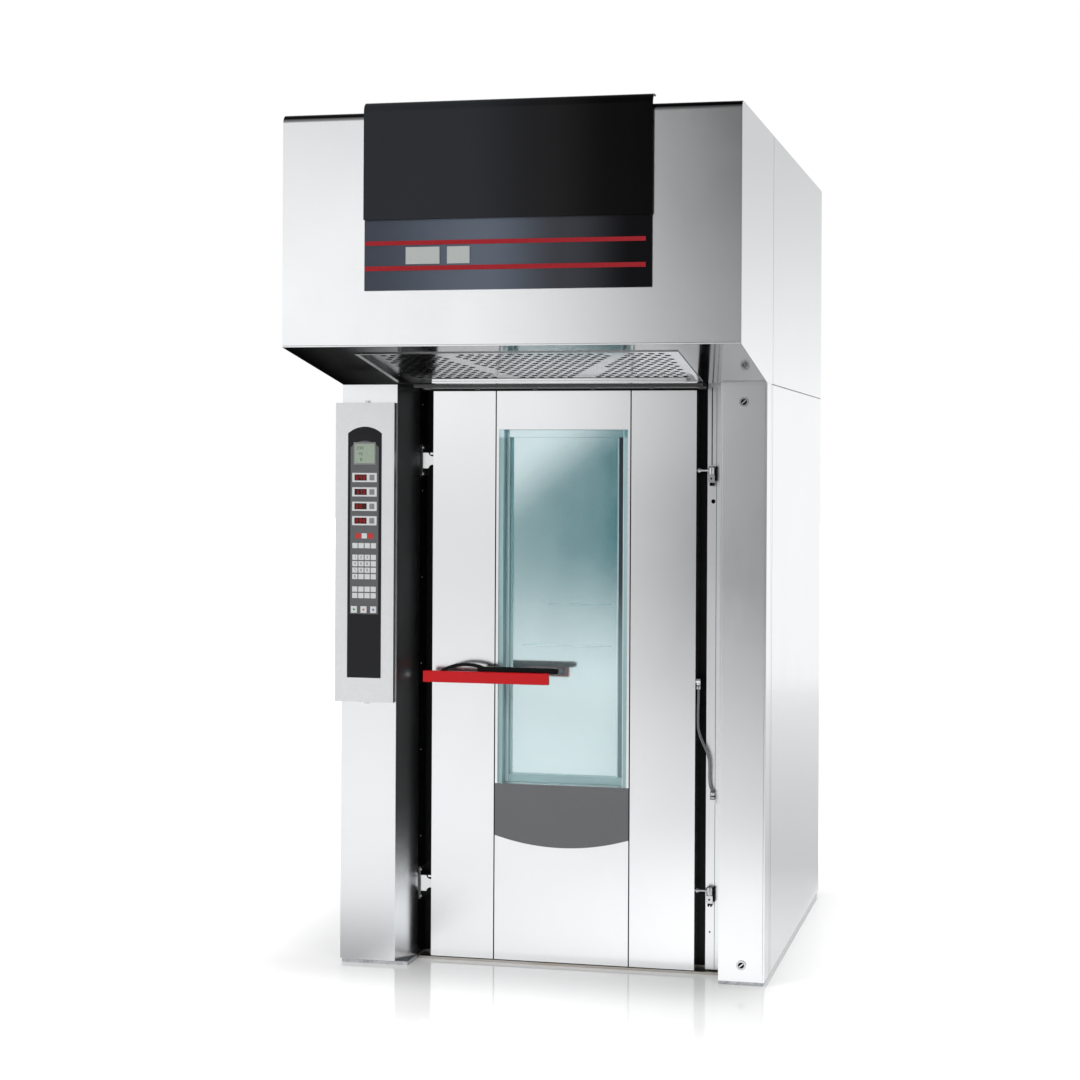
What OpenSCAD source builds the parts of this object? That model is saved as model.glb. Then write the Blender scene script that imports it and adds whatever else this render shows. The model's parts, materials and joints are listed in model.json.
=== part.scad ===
// Rotating rack oven for one trolley, with a steam hood over its door.
// Millimetres, +Z up, the front faces -Y.
// The pieces are drawn with X = 0 on the body's middle, Y = 0 on the column fronts and
// Z = 0 on the floor. place() then moves the origin to the floor under the oven's middle.

/* [Oven body] */
// Width across both columns
body_w = 1400; // [1380:10:1600]
// Depth from the column fronts to the rear panel
body_d = 1565; // [1550:5:1800]
// Height of the hood casing's top above the floor
body_h = 2692; // [2650:4:2900]
// Thickness of the stainless cladding sheets
sheet_t = 2; // [1.5:0.5:3]
// Height of the base frame under the columns and the chamber
base_h = 12; // [10:1:24]
// Gap at the seams between cladding panels
seam = 0.8; // [0.4:0.1:0.9]
// How far the base frame stands back from the cladding
base_inset = 5; // [2:1:15]
// Side of the square posts and beams of the support frame
post_w = 40; // [30:2:50]
// Wall of the posts and beams
post_wall = 3; // [2:0.5:5]
// Thickness of the deck plate over the chamber
deck_t = 3; // [2:0.5:6]

/* [Columns] */
// Width of the left column's front
left_col_w = 188; // [180:2:220]
// Width of the right column's front
right_col_w = 147; // [140:1:180]
// Depth of the columns' return round the oven's outer corners
corner_return = 98; // [80:2:120]
// How far the left column's inner face splays towards the door
splay = 42; // [20:2:50]
// Depth of the left column's splayed face
splay_d = 118; // [100:2:120]
// Radius of the quarter-turn locks in the service cover
lock_r = 15.5; // [10:0.5:20]
// Height of the upper lock's centre
lock_high_z = 1837; // [1700:1:1850]
// Height of the lower lock's centre
lock_low_z = 64; // [50:1:120]
// Width of the screwdriver slot in a lock
lock_slot_w = 3; // [2:0.5:4]
// Margin between the service cover and the column's edges
cover_margin = 6; // [3:1:12]

/* [Door] */
// Space between the left column's inner edge and the leaf
latch_space = 47; // [42:1:54]
// Space between the leaf and the right column, for the hinge post
hinge_space = 96; // [90:1:110]
// Height of the leaf
leaf_h = 1866; // [1800:2:1870]
// Thickness of the leaf
leaf_t = 82; // [74:1:88]
// Depth of the leaf's front face behind the column fronts
leaf_y = 116; // [112:1:120]
// Thickness of the leaf's front sheets
skin_t = 1.5; // [1:0.25:2]
// Thickness of the gasket round the doorway
gasket_t = 8; // [6:1:12]
// Width of the gasket strip
gasket_w = 20; // [14:1:22]
// How far the leaf laps over the doorway at each side
lap = 25; // [23:1:30]
// Distance of the left groove from the leaf's left edge
groove_left = 214; // [200:1:230]
// Distance between the two grooves
strip_w = 451; // [430:1:470]
// Width of a groove
groove_w = 4; // [3:0.5:6]
// Height of the window's lower edge above the floor
window_z = 590; // [560:1:640]
// Height of the window
window_h = 1162; // [1100:1:1180]
// Margin of the centre strip beside the window
window_margin = 8; // [6:1:12]
// Thickness of each pane
glass_t = 5; // [4:1:8]
// Depth of the outer pane behind the leaf's front
outer_glass_back = 4; // [2:1:8]
// Width of the lining frame seen behind the outer pane
reveal_w = 25; // [18:1:35]
// Height of the straight sides of the grey trim under the window
trim_side_h = 170; // [140:2:200]
// How far the trim's arc drops below its sides
trim_arc = 34; // [20:1:50]
// Thickness of the grey trim plate
trim_t = 1.5; // [1:0.25:3]

/* [Hinges] */
// Distance of the hinge axis from the leaf's right edge
hinge_gap = 48; // [46:1:54]
// Depth of the hinge axis behind the leaf's front face
hinge_back = 14; // [12:1:18]
// Height of the upper hinge eye's centre
hinge_high_z = 1621; // [1500:1:1700]
// Height of the lower hinge eye's centre
hinge_low_z = 268; // [200:1:400]
// Radius of the hinge pins
pin_r = 6; // [5:0.5:8]
// Running clearance between a pin and its eye
pin_clear = 0.05; // [0.03:0.01:0.1]
// Width of a hinge eye and of its block
eye_w = 22; // [18:1:26]
// Height of a hinge eye
eye_h = 28; // [22:1:34]
// Height of the fixed block under an eye
block_h = 25; // [20:1:34]
// Gap between the block and the eye on it
eye_gap = 0.3; // [0.2:0.1:1]
// Radius of the threaded hinge bolts
bolt_r = 4; // [3:0.5:5]
// Radius of the lock nut on a hinge bolt
nut_r = 9; // [7:0.5:11]

/* [Handle and latch] */
// Distance of the spindle from the leaf's left edge
spindle_in = 31; // [30:1:34]
// Height of the spindle above the floor
spindle_z = 943; // [850:1:1100]
// Radius of the spindle
spindle_r = 8; // [7:0.5:9]
// Running clearance of the spindle, the rod and the shafts in their bores
run_clear = 0.05; // [0.03:0.01:0.08]
// Length of the red grip
grip_l = 421; // [360:1:440]
// Height of the red grip
grip_h = 37; // [30:1:44]
// Thickness of the red grip
grip_t = 22; // [16:1:28]
// Distance of the lever plate from the leaf's front
lever_gap = 54; // [40:1:60]
// Thickness of the lever plate
lever_t = 12; // [8:1:16]
// Height of the lever's straight bar
bar_h = 19; // [14:1:24]
// How far the bar's end passes the grip's end
bar_past = 30; // [20:1:40]
// Width of the arched bow at the lever's left
bow_w = 190; // [150:2:210]
// Rise of the bow over the bar's underside
bow_rise = 30; // [24:1:36]
// Thickness of the bow
bow_t = 11; // [8:1:14]
// Pitch radius of the spindle's pinion
pinion_r = 14; // [13:0.5:15]
// Number of teeth round the pinion
pinion_teeth = 10; // [10:2:12]
// Thickness of the pinion and its rack
pinion_w = 10; // [8:1:12]
// Radius of the latch rod
rod_r = 5; // [4:0.5:6]
// Depth of the latch rod behind the leaf's front
rod_back = 29; // [26:1:34]
// Height of the upper striker's centre
striker_high_z = 1649; // [1500:1:1750]
// Height of the lower striker's centre
striker_low_z = 246; // [180:1:400]
// Height of a striker plate
striker_h = 106; // [90:2:120]
// Height of a striker's tongue
tongue_h = 36; // [28:1:42]
// Width of the latch channel in the leaf's left edge
channel_w = 53; // [52:1:60]

/* [Hood] */
// How far the hood reaches out in front of the columns
hood_reach = 581; // [500:1:700]
// Height of the hood's rear underside, over the door
hood_z = 1897; // [1893:1:1905]
// Height of the hood's front lip
hood_lip_z = 1987; // [1940:1:2040]
// Depth of the hood's side sheets behind the column fronts
hood_back = 131; // [125:1:150]
// Radius of the hood's top front edge
hood_edge_r = 26; // [15:1:40]
// Width of the filter opening in the hood's underside
filter_w = 1000; // [900:4:1100]
// Length of the filter opening along the slope
filter_l = 471; // [420:1:480]
// Distance of the filter opening from the front lip
filter_front = 92; // [80:1:110]
// Width of the filter's rim
filter_rim = 14; // [10:1:20]
// Thickness of the perforated filter plate
filter_t = 2; // [1.5:0.5:4]
// Distance between neighbouring holes of the filter
hole_pitch = 31; // [28:1:40]
// Radius of a filter hole
hole_r = 10; // [6:0.5:12]
// Half the width of the filter's two plain diagonal bands
band_half = 12; // [8:1:20]
// Width of the tinted visor
visor_w = 880; // [700:2:1100]
// Height of the visor's lower edge
visor_z = 2366; // [2300:1:2450]
// Thickness of the visor
visor_t = 5; // [4:1:8]
// Gap between the visor and the hood's front
visor_gap = 8; // [7:1:16]
// How far the visor rises over the hood's top
visor_over = 28; // [20:1:40]
// Depth of the visor's folded top
visor_fold = 50; // [36:1:80]
// Height of the display panel's lower edge
panel_z = 2154; // [2100:1:2200]
// Thickness of the display panel
panel_t = 6; // [4:1:6.5]

/* [Exhaust] */
// Outer radius of the flue collar
flue_r = 100; // [80:1:125]
// Height of the flue collar over the hood's top
flue_h = 60; // [50:1:100]
// Depth of the flue's axis in front of the column fronts
flue_front = 60; // [40:1:120]
// Radius of the exhaust fan housing
fan_box_r = 172; // [150:1:190]
// Height of the exhaust fan housing
fan_box_h = 270; // [240:2:320]
// Radius of the exhaust fan wheel
exhaust_wheel_r = 140; // [110:1:145]
// Outer radius of the steam damper's pipe
damper_r = 60; // [50:1:70]

/* [Baking chamber] */
// Space beside the chamber for air duct, lagging and frame, at each side
side_space = 160; // [160:2:180]
// Space behind the rear air wall for heaters, lagging and the rear panel
rear_space = 239; // [219:2:259]
// Height of the chamber's floor above the floor
floor_z = 30; // [26:1:36]
// Height of the chamber's ceiling above the floor
ceiling_z = 1890; // [1880:1:1892]
// Height of the doorway's top above the floor
doorway_top = 1850; // [1840:1:1853]
// Width of the air duct behind each air wall
duct_w = 45; // [35:1:50]
// Depth of the heater space behind the rear air wall
heater_d = 128; // [120:1:140]
// Thickness of the insulation round the chamber
insulation_t = 64; // [50:1:66]
// Number of heater loops
heaters = 6; // [3:1:7]
// Radius of a heater tube
heater_r = 8; // [6:0.5:10]
// Radius of the circulation fan wheel
fan_r = 170; // [140:1:190]
// Height of the circulation fan wheel
fan_h = 90; // [60:1:110]
// Number of blades on each fan wheel
blades = 12; // [8:1:16]
// Radius of the rack's drive shaft
shaft_r = 20; // [16:1:24]
// Span of the rack carrier's cross arm
carrier_span = 560; // [500:10:640]
// Height of the trolley that the carrier hooks
trolley_h = 1770; // [1750:5:1775]

/* [Control box] */
// Width of the control box
ctrl_w = 200; // [190:2:220]
// Height of the control box
ctrl_h = 977; // [950:1:1000]
// Thickness of the control box in front of the column
ctrl_t = 28; // [24:1:50]
// Height of the control box's lower edge
ctrl_z = 859; // [800:1:900]
// How far the control box passes the column's outer side
ctrl_over = 14; // [0:1:20]
// Width of the dark arched fascia
fascia_w = 115; // [100:1:130]
// Height of the fascia's sides
fascia_h = 798; // [780:1:820]
// Distance of the fascia's foot above the box's lower edge
fascia_up = 79; // [60:1:100]
// Rise of the fascia's arched top
fascia_arch = 22; // [10:1:40]
// Travel of the three start and stop keys
key_travel = 1.2; // [0.8:0.1:2]

/* [Hidden] */
$fn = 64;
hw = body_w / 2;
eps = 0.5;

// Origin: the middle of the whole oven's box on the floor
rear_out = 30;
visor_front_y = -hood_reach - visor_gap - visor_t;
centre_x = -max(ctrl_over, 0) / 2;
centre_y = (visor_front_y + body_d + rear_out) / 2;

// Columns and the space for the door between them
left_in = -hw + left_col_w;
left_throat = left_in + splay;
right_in = hw - right_col_w;
col_top = hood_z;

// Leaf, frame and doorway
leaf_x0 = left_throat + latch_space;
leaf_x1 = right_in - hinge_space;
leaf_z0 = base_h;
leaf_z1 = leaf_z0 + leaf_h;
leaf_back = leaf_y + leaf_t;
frame_y = leaf_back + gasket_t;
frame_t = 3;
door_x0 = leaf_x0 + lap;
door_x1 = leaf_x1 - lap;
throat_d = 40;
liner_y = frame_y + throat_d;

// Chamber
chamber_w = body_w - 2 * side_space;
wall_t = 2;
air_wall_y = body_d - rear_space;
chamber_d = air_wall_y - liner_y;
liner_half = chamber_w / 2 + duct_w + wall_t;
liner_back = air_wall_y + wall_t + heater_d;
turn_y = liner_y + chamber_d / 2;
lagging_half = min(liner_half + insulation_t, hw - sheet_t - post_w);
lagging_back = min(liner_back + wall_t + insulation_t, body_d - sheet_t - post_w);
liner_top = ceiling_z + wall_t;
deck_z = liner_top + insulation_t + 4;
post_top = deck_z;
hood_top_in = body_h - sheet_t;

// Grooves, centre strip and window
groove0 = leaf_x0 + groove_left;
groove1 = groove0 + strip_w;
strip_x0 = groove0 + groove_w / 2;
strip_x1 = groove1 - groove_w / 2;
win_x0 = strip_x0 + window_margin;
win_x1 = strip_x1 - window_margin;
win_z1 = window_z + window_h;
channel_x1 = leaf_x0 + channel_w;
outer_pane_y = leaf_y + outer_glass_back;
inner_pane_y = leaf_back - 4 - glass_t;

// Hinges
axis_x = leaf_x1 + hinge_gap;
axis_y = leaf_y + hinge_back;
post_face_y = axis_y + eye_w / 2 + 3;
hinge_post_x0 = axis_x - eye_w / 2 - 5;

// Handle and latch
spindle_x = leaf_x0 + spindle_in;
lever_y1 = leaf_y - lever_gap;
lever_y0 = lever_y1 - lever_t;
grip_x0 = leaf_x0 - 7;
grip_x1 = grip_x0 + grip_l;
grip_y1 = lever_y0;
grip_y0 = grip_y1 - grip_t;
bar_z0 = spindle_z + grip_h / 2 - 3;
rod_y = leaf_y + rod_back;
module_m = 2 * pinion_r / pinion_teeth;
tooth_pitch = PI * module_m;
tooth_up = 0.7 * module_m;
tooth_down = 1.1 * module_m;
rack_x = spindle_x - pinion_r;
rod_x = rack_x - tooth_down - rod_r;
rack_down = 7;
rack_up = 3;
hook_t = 6;
hook_reach = 18;
striker_x1 = leaf_x0 - 5;

// Door cable: X, Y from the hinge axis and Z from the handle's spindle
cable_r = 5;
cable_route = [[-40, 0, -14], [-40, 0, -30], [-40, 0, -60], [-41, 0, -90], [-41, -1, -120],
    [-40, -2, -150], [-34, -3, -175], [-24, -4, -200], [-12, -4, -225], [-4, -3, -250],
    [-2, -1, -280], [-2, 1, -310], [0, 2, -335], [6, 1, -355], [8, 0, -368], [8, 0, -380]];

// Hood
slope = atan2(hood_lip_z - hood_z, hood_reach);
filter_mid_y = filter_front + filter_l / 2;
flue_y = -flue_front;

// Fans and damper
plenum_half = 300;
plenum_y0 = liner_back + wall_t - 420;
plenum_y1 = liner_back + wall_t;
plenum_top = deck_z + 170;
fan_y = (plenum_y0 + plenum_y1) / 2;
fan_z = plenum_top - wall_t - 20 - fan_h;
fan_shaft_r = 14;
damper_x = chamber_w / 2 - 190;
damper_y = liner_y + 90;
damper_z = deck_z + 60;
damper_wall = 1.5;
damper_in = damper_r - damper_wall;
damper_top = damper_z + 90;
damper_shaft_r = 6;

// Switch box
switch_w = 220;
switch_d = 460;
switch_h = 500;
switch_gap = 60;
switch_back = 170;

// Water and mains
pipe_r = 8;
cascade_half = chamber_w / 2 - 160;
cascade_h = 230;
bar_step = (cascade_h - 20) / 5;
riser_x = chamber_w / 2 - 20;
riser_y = air_wall_y + wall_t + heater_d / 2;
service_drop = 390;
service_z = hood_top_in - service_drop;
gland_x = -hw + 180;
gland_r = 20;

// Control box
ctrl_x0 = -hw - ctrl_over;
ctrl_x1 = ctrl_x0 + ctrl_w;
ctrl_y0 = -ctrl_t;
ctrl_mid = (ctrl_x0 + ctrl_x1) / 2;
fascia_z0 = ctrl_z + fascia_up;
fascia_t = 1.5;
foil_t = 0.6;
foil_w = 96;
foil_z0 = fascia_z0 + 208;
foil_h = 566;
foil_arch = 22;
key_y = ctrl_y0 - fascia_t - foil_t;
pad_w = 84;
led_z = foil_z0 + 290;
led_step = 47;
key_row_z = foil_z0 + 4;
key_w = 21;
key_h = 22;
stem_r = 3;
function key_x(i) = ctrl_mid - 44 + i * 33;

// ---- helpers ----

module place() {
    translate([-centre_x, -centre_y, 0]) children();
}

// A block from three pairs of limits
module block(x, y, z) {
    translate([x[0], y[0], z[0]]) cube([x[1] - x[0], y[1] - y[0], z[1] - z[0]]);
}

// Round bars along each axis
module rod_up(x, y, z, r) {
    translate([x, y, z[0]]) cylinder(h = z[1] - z[0], r = r);
}

module rod_back(x, y, z, r) {
    translate([x, y[0], z]) rotate([-90, 0, 0]) cylinder(h = y[1] - y[0], r = r);
}

module rod_side(x, y, z, r) {
    translate([x[0], y, z]) rotate([0, 90, 0]) cylinder(h = x[1] - x[0], r = r);
}

// The same piece on both sides of the oven's middle
module both_sides() {
    children();
    mirror([1, 0, 0]) children();
}

// A plate in the X-Z plane from an outline, between two depths
module upright(y) {
    translate([0, y[1], 0]) rotate([90, 0, 0]) linear_extrude(y[1] - y[0]) children();
}

// A sheet bent along X from an outline in Y and Z
module folded(x) {
    translate([x[0], 0, 0]) rotate([90, 0, 90]) linear_extrude(x[1] - x[0]) children();
}

// Puts children on the hood's sloped underside: y runs back from the lip, z points up
module on_slope() {
    translate([0, -hood_reach, hood_lip_z]) rotate([-slope, 0, 0]) children();
}

// A square tube along Z, X or Y
module post(x, y, z) {
    difference() {
        block([x, x + post_w], [y, y + post_w], z);
        block([x + post_wall, x + post_w - post_wall], [y + post_wall, y + post_w - post_wall],
            [z[0] - eps, z[1] + eps]);
    }
}

module beam_back(x, y, z) {
    difference() {
        block([x, x + post_w], y, [z, z + post_w]);
        block([x + post_wall, x + post_w - post_wall], [y[0] - eps, y[1] + eps],
            [z + post_wall, z + post_w - post_wall]);
    }
}

module beam_side(x, y, z) {
    difference() {
        block(x, [y, y + post_w], [z, z + post_w]);
        block([x[0] - eps, x[1] + eps], [y + post_wall, y + post_w - post_wall],
            [z + post_wall, z + post_w - post_wall]);
    }
}

// A panel outline with upright sides and an arched top
module arched(w, h, rise) {
    big = (pow(w / 2, 2) + pow(rise, 2)) / (2 * rise);
    intersection() {
        translate([-w / 2, 0]) square([w, h + rise]);
        union() {
            translate([-w / 2, 0]) square([w, h]);
            translate([0, h + rise - big]) circle(r = big, $fn = 180);
        }
    }
}

// ---- frame and cladding ----

module base_frame() {
    x = hw - base_inset;
    color("dimgray") place() difference() {
        block([-x, x], [base_inset, body_d - base_inset], [0, base_h]);
        block([left_throat, right_in], [0, frame_y + frame_t], [-eps, base_h + eps]);
        block([-x + post_w * 2, x - post_w * 2], [liner_y, lagging_back - post_w],
            [-eps, base_h / 2]);
    }
}

module support_frame() {
    x = hw - sheet_t - post_w;
    y0 = splay_d + 2;
    y1 = body_d - sheet_t - post_w;
    color("gray") place() {
        both_sides() {
            post(x, y0, [base_h, post_top]);
            post(x, y1, [base_h, post_top]);
            beam_back(x, [y0 + post_w, y1], post_top - post_w);
        }
        beam_side([-x, x], y0, post_top - post_w);
        beam_side([-x, x], y1, post_top - post_w);
    }
}

module top_deck() {
    x = hw - sheet_t;
    color("silver") place() difference() {
        block([-x, x], [hood_back, body_d - sheet_t], [deck_z, deck_z + deck_t]);
        block([-plenum_half, plenum_half], [plenum_y0, plenum_y1],
            [deck_z - eps, deck_z + deck_t + eps]);
        rod_up(0, turn_y, [deck_z - eps, deck_z + deck_t + eps], shaft_r + 10);
        rod_up(damper_x, damper_y, [deck_z - eps, deck_z + deck_t + eps], damper_r);
        rod_up(riser_x, riser_y, [deck_z - eps, deck_z + deck_t + eps], pipe_r);
    }
}

module left_column() {
    t = sheet_t / cos(atan2(splay, splay_d));
    color("lightgray") place() {
        block([-hw, left_in], [0, sheet_t], [base_h, col_top]);
        block([-hw, -hw + sheet_t], [0, corner_return], [base_h, col_top]);
        translate([0, 0, base_h]) linear_extrude(col_top - base_h) polygon([[left_in, 0],
            [left_throat, splay_d], [left_throat - t, splay_d], [left_in - t, 0]]);
    }
}

module right_column() {
    x0 = right_in;
    color("lightgray") place() difference() {
        union() {
            block([x0, hw], [0, sheet_t], [base_h, col_top]);
            block([hw - sheet_t, hw], [0, corner_return], [base_h, col_top]);
            block([x0, x0 + sheet_t], [0, frame_y], [base_h, col_top]);
        }
        for (z = [lock_low_z, lock_high_z])
            rod_back((x0 + hw) / 2, [-eps, sheet_t + eps], z, lock_r - 3);
    }
}

module service_cover() {
    x0 = right_in + cover_margin;
    x1 = hw - cover_margin;
    color("gainsboro") place() difference() {
        block([x0, x1], [-sheet_t, 0], [base_h + cover_margin, col_top - cover_margin]);
        for (z = [lock_low_z, lock_high_z])
            rod_back((x0 + x1) / 2, [-sheet_t - eps, eps], z, lock_r - 3 + 0.3);
    }
}

// A slotted head on a short stem with a cross tongue behind the cover
module quarter_turn(z) {
    x = (right_in + hw) / 2;
    color("silver") place() difference() {
        union() {
            rod_back(x, [-sheet_t - 3, -sheet_t - 0.2], z, lock_r);
            rod_back(x, [-sheet_t - 1, sheet_t + 8], z, lock_r - 3 - run_clear);
            block([x - 20, x + 20], [sheet_t + 4, sheet_t + 8], [z - 6, z + 6]);
        }
        block([x - lock_r * 0.7, x + lock_r * 0.7], [-sheet_t - 4, -sheet_t - 1.5],
            [z - lock_slot_w / 2, z + lock_slot_w / 2]);
    }
}

module lock_upper() quarter_turn(lock_high_z);
module lock_lower() quarter_turn(lock_low_z);

// Lower and upper side panels, with a seam at the hood's rear underside
module side_panels() {
    color("whitesmoke") place() both_sides() {
        block([hw - sheet_t, hw], [corner_return, body_d], [base_h, hood_z - seam]);
        block([hw - sheet_t, hw], [hood_back, body_d], [hood_z, body_h]);
    }
}

// The louvred rear panel and the roof panel
module back_panels() {
    x = hw - sheet_t;
    color("lightgray") place() block([-x, x], [hood_back, body_d], [hood_top_in, body_h]);
    color("lightgray") place() difference() {
        block([-x, x], [body_d - sheet_t, body_d], [base_h, hood_top_in - seam]);
        for (side = [-1, 1], row = [0:7]) {
            z = hood_top_in - 310 + row * 30;
            block([side * 330 - 110, side * 330 + 110], [body_d - sheet_t - eps, body_d + eps],
                [z, z + 10]);
        }
        rod_back(gland_x, [body_d - sheet_t - eps, body_d + eps], service_z, gland_r);
        rod_back(riser_x, [body_d - sheet_t - eps, body_d + eps], service_z, pipe_r);
    }
}

// ---- door frame ----

module door_frame() {
    color([0.08, 0.08, 0.09]) place() {
        difference() {
            block([-lagging_half, lagging_half], [frame_y, frame_y + frame_t],
                [base_h, hood_z]);
            block([door_x0, door_x1], [frame_y - eps, frame_y + frame_t + eps],
                [base_h - eps, doorway_top]);
        }
        difference() {
            block([door_x0 - wall_t, door_x1 + wall_t], [frame_y + frame_t, liner_y],
                [floor_z, doorway_top + wall_t]);
            block([door_x0, door_x1], [frame_y, liner_y + eps], [floor_z - eps, doorway_top]);
        }
        block([left_throat - wall_t, left_throat], [splay_d, frame_y],
            [base_h, hood_z]);
    }
}

module door_gasket() {
    color([0.05, 0.05, 0.05]) place() difference() {
        block([door_x0 - gasket_w, door_x1 + gasket_w], [leaf_back, frame_y],
            [base_h, doorway_top + gasket_w]);
        block([door_x0, door_x1], [leaf_back - eps, frame_y + eps],
            [base_h - eps, doorway_top]);
    }
}

module door_sill() {
    color("darkgray") place() {
        block([left_throat + 1, right_in - 1], [leaf_y + 4, leaf_back], [0, base_h - 4]);
        block([left_throat + 1, right_in - 1], [leaf_back, frame_y + frame_t], [0, base_h]);
    }
}

// The post beside the door, with the gland that the door cable ends in
module hinge_post() {
    x1 = right_in;
    end = cable_route[len(cable_route) - 1];
    color("silver") place() difference() {
        union() {
            block([axis_x + end[0] - 8, axis_x + end[0] + 8], [axis_y - 8, post_face_y + 1],
                [spindle_z + end[2] - 16, spindle_z + end[2]]);
            block([hinge_post_x0, x1], [post_face_y, frame_y], [base_h, hood_z]);
        }
        block([hinge_post_x0 + 3, x1 - 3], [post_face_y + 3, frame_y + eps],
            [base_h - eps, hood_z]);
        block([axis_x + 5, axis_x + 10], [post_face_y - eps, post_face_y + 1.5],
            [hinge_high_z + 40, hood_z]);
        rod_back(axis_x + 3, [post_face_y - eps, post_face_y + 4], hinge_high_z - 100, 7);
        rod_back(axis_x - 2, [post_face_y - eps, post_face_y + 4], hinge_low_z - 135, 3);
    }
}

// The fixed lower halves of the hinges, each with its pin and a foot against the post
module hinge_blocks() {
    half = eye_w / 2;
    color("lightgray") place() for (z = [hinge_low_z, hinge_high_z]) {
        top = z - eye_h / 2 - eye_gap;
        difference() {
            block([axis_x - half, axis_x + half], [axis_y - half, post_face_y],
                [top - block_h, top]);
            rod_back(axis_x, [axis_y - half - eps, axis_y - half + 4], top - block_h / 2, 3);
        }
        rod_up(axis_x, axis_y, [top - 1, z + eye_h / 2], pin_r);
    }
}

// A plate beside the leaf's edge with a waisted tongue towards the latch
module striker(z) {
    plate_x0 = left_throat;
    y0 = rod_y - 8;
    y1 = frame_y;
    block([plate_x0, plate_x0 + 3], [y0, y1], [z - striker_h / 2, z + striker_h / 2]);
    translate([0, y0 + 16, z]) rotate([90, 0, 0]) linear_extrude(16)
        difference() {
            translate([plate_x0 + 3, -tongue_h / 2 - 8])
                square([striker_x1 - plate_x0 - 3, tongue_h + 16]);
            for (side = [-1, 1])
                translate([striker_x1 - 4, side * (tongue_h / 2 + 10)]) circle(r = 14);
        }
    for (side = [-1, 1])
        rod_side([plate_x0 + 3, plate_x0 + 7], rod_y, z + side * (striker_h / 2 - 9), 5);
}

module strikers() {
    color("silver") place() for (z = [striker_low_z, striker_high_z]) striker(z);
}

module top_seal() {
    color([0.05, 0.05, 0.05]) place()
        block([left_throat + 2, hinge_post_x0 - 2], [leaf_y + 10, frame_y],
            [leaf_z1 + 4, hood_z]);
}

// The bright rod that holds the top seal, with its four clips and two end brackets
module seal_clips() {
    x0 = left_throat + 12;
    x1 = hinge_post_x0 - 4;
    y = leaf_y + 10;
    z = leaf_z1 + 10;
    color("silver") place() {
        rod_side([x0, x1], y - 3, z, 3);
        for (i = [0:3]) {
            x = leaf_x0 + 150 + i * (leaf_x1 - leaf_x0 - 298) / 3;
            block([x - 8, x + 8], [y - 7, y], [z - 5, z + 6]);
        }
        for (x = [x0 + 6, x1 - 24]) block([x, x + 20], [y - 8, y], [z - 4, z + 5]);
    }
}

// ---- chamber ----

module chamber_floor() {
    color("silver") place() block([-lagging_half, lagging_half],
        [frame_y + frame_t, lagging_back], [base_h, floor_z]);
}

module chamber_liner() {
    x = liner_half;
    color("silver") place() difference() {
        block([-x, x], [liner_y, liner_back + wall_t], [floor_z, liner_top]);
        block([-x + wall_t, x - wall_t], [liner_y + wall_t, liner_back],
            [floor_z - eps, ceiling_z]);
        block([door_x0 - wall_t, door_x1 + wall_t], [liner_y - eps, liner_y + wall_t + eps],
            [floor_z - eps, doorway_top + wall_t]);
        block([-plenum_half + wall_t, plenum_half - wall_t],
            [plenum_y0 + wall_t, plenum_y1 - wall_t], [ceiling_z - eps, liner_top + eps]);
        rod_up(0, turn_y, [ceiling_z - eps, liner_top + eps], shaft_r + 4);
        rod_up(damper_x, damper_y, [ceiling_z - eps, liner_top + eps], damper_in);
        rod_up(riser_x, riser_y, [ceiling_z - eps, liner_top + eps], pipe_r);
    }
}

module insulation() {
    x = liner_half;
    color("khaki") place() difference() {
        block([-lagging_half, lagging_half], [frame_y + frame_t, lagging_back],
            [floor_z, deck_z - 4]);
        block([-x, x], [liner_y, liner_back + wall_t], [floor_z - eps, liner_top]);
        block([door_x0 - wall_t, door_x1 + wall_t], [frame_y, liner_y + eps],
            [floor_z - eps, doorway_top + wall_t]);
        block([-plenum_half, plenum_half], [plenum_y0, plenum_y1], [liner_top - eps, deck_z]);
        rod_up(0, turn_y, [liner_top - eps, deck_z], shaft_r + 10);
        rod_up(damper_x, damper_y, [liner_top - eps, deck_z], damper_r);
        rod_up(riser_x, riser_y, [liner_top - eps, deck_z], pipe_r);
    }
}

// Sheets with rows of air slots along both sides and the back of the chamber
module air_walls() {
    x = chamber_w / 2;
    slot_l = 130;
    slot_step = (chamber_w - 80) / 5;
    rows = 14;
    cols = 5;
    color("gainsboro") place() {
        both_sides() difference() {
            block([x, x + wall_t], [liner_y + wall_t, air_wall_y + wall_t],
                [floor_z, ceiling_z]);
            for (i = [0:cols - 1], j = [0:rows - 1]) {
                y = liner_y + 120 + i * (chamber_d - 240 - slot_l) / (cols - 1);
                z = floor_z + 130 + j * (ceiling_z - floor_z - 260) / (rows - 1);
                block([x - eps, x + wall_t + eps], [y, y + slot_l], [z - 7, z + 7]);
            }
        }
        difference() {
            block([-x, x], [air_wall_y, air_wall_y + wall_t], [floor_z, ceiling_z]);
            for (i = [-2:2], j = [0:9])
                block([i * slot_step - 60, i * slot_step + 60],
                    [air_wall_y - eps, air_wall_y + wall_t + eps],
                    [floor_z + 200 + j * 160, floor_z + 220 + j * 160]);
        }
    }
}

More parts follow.
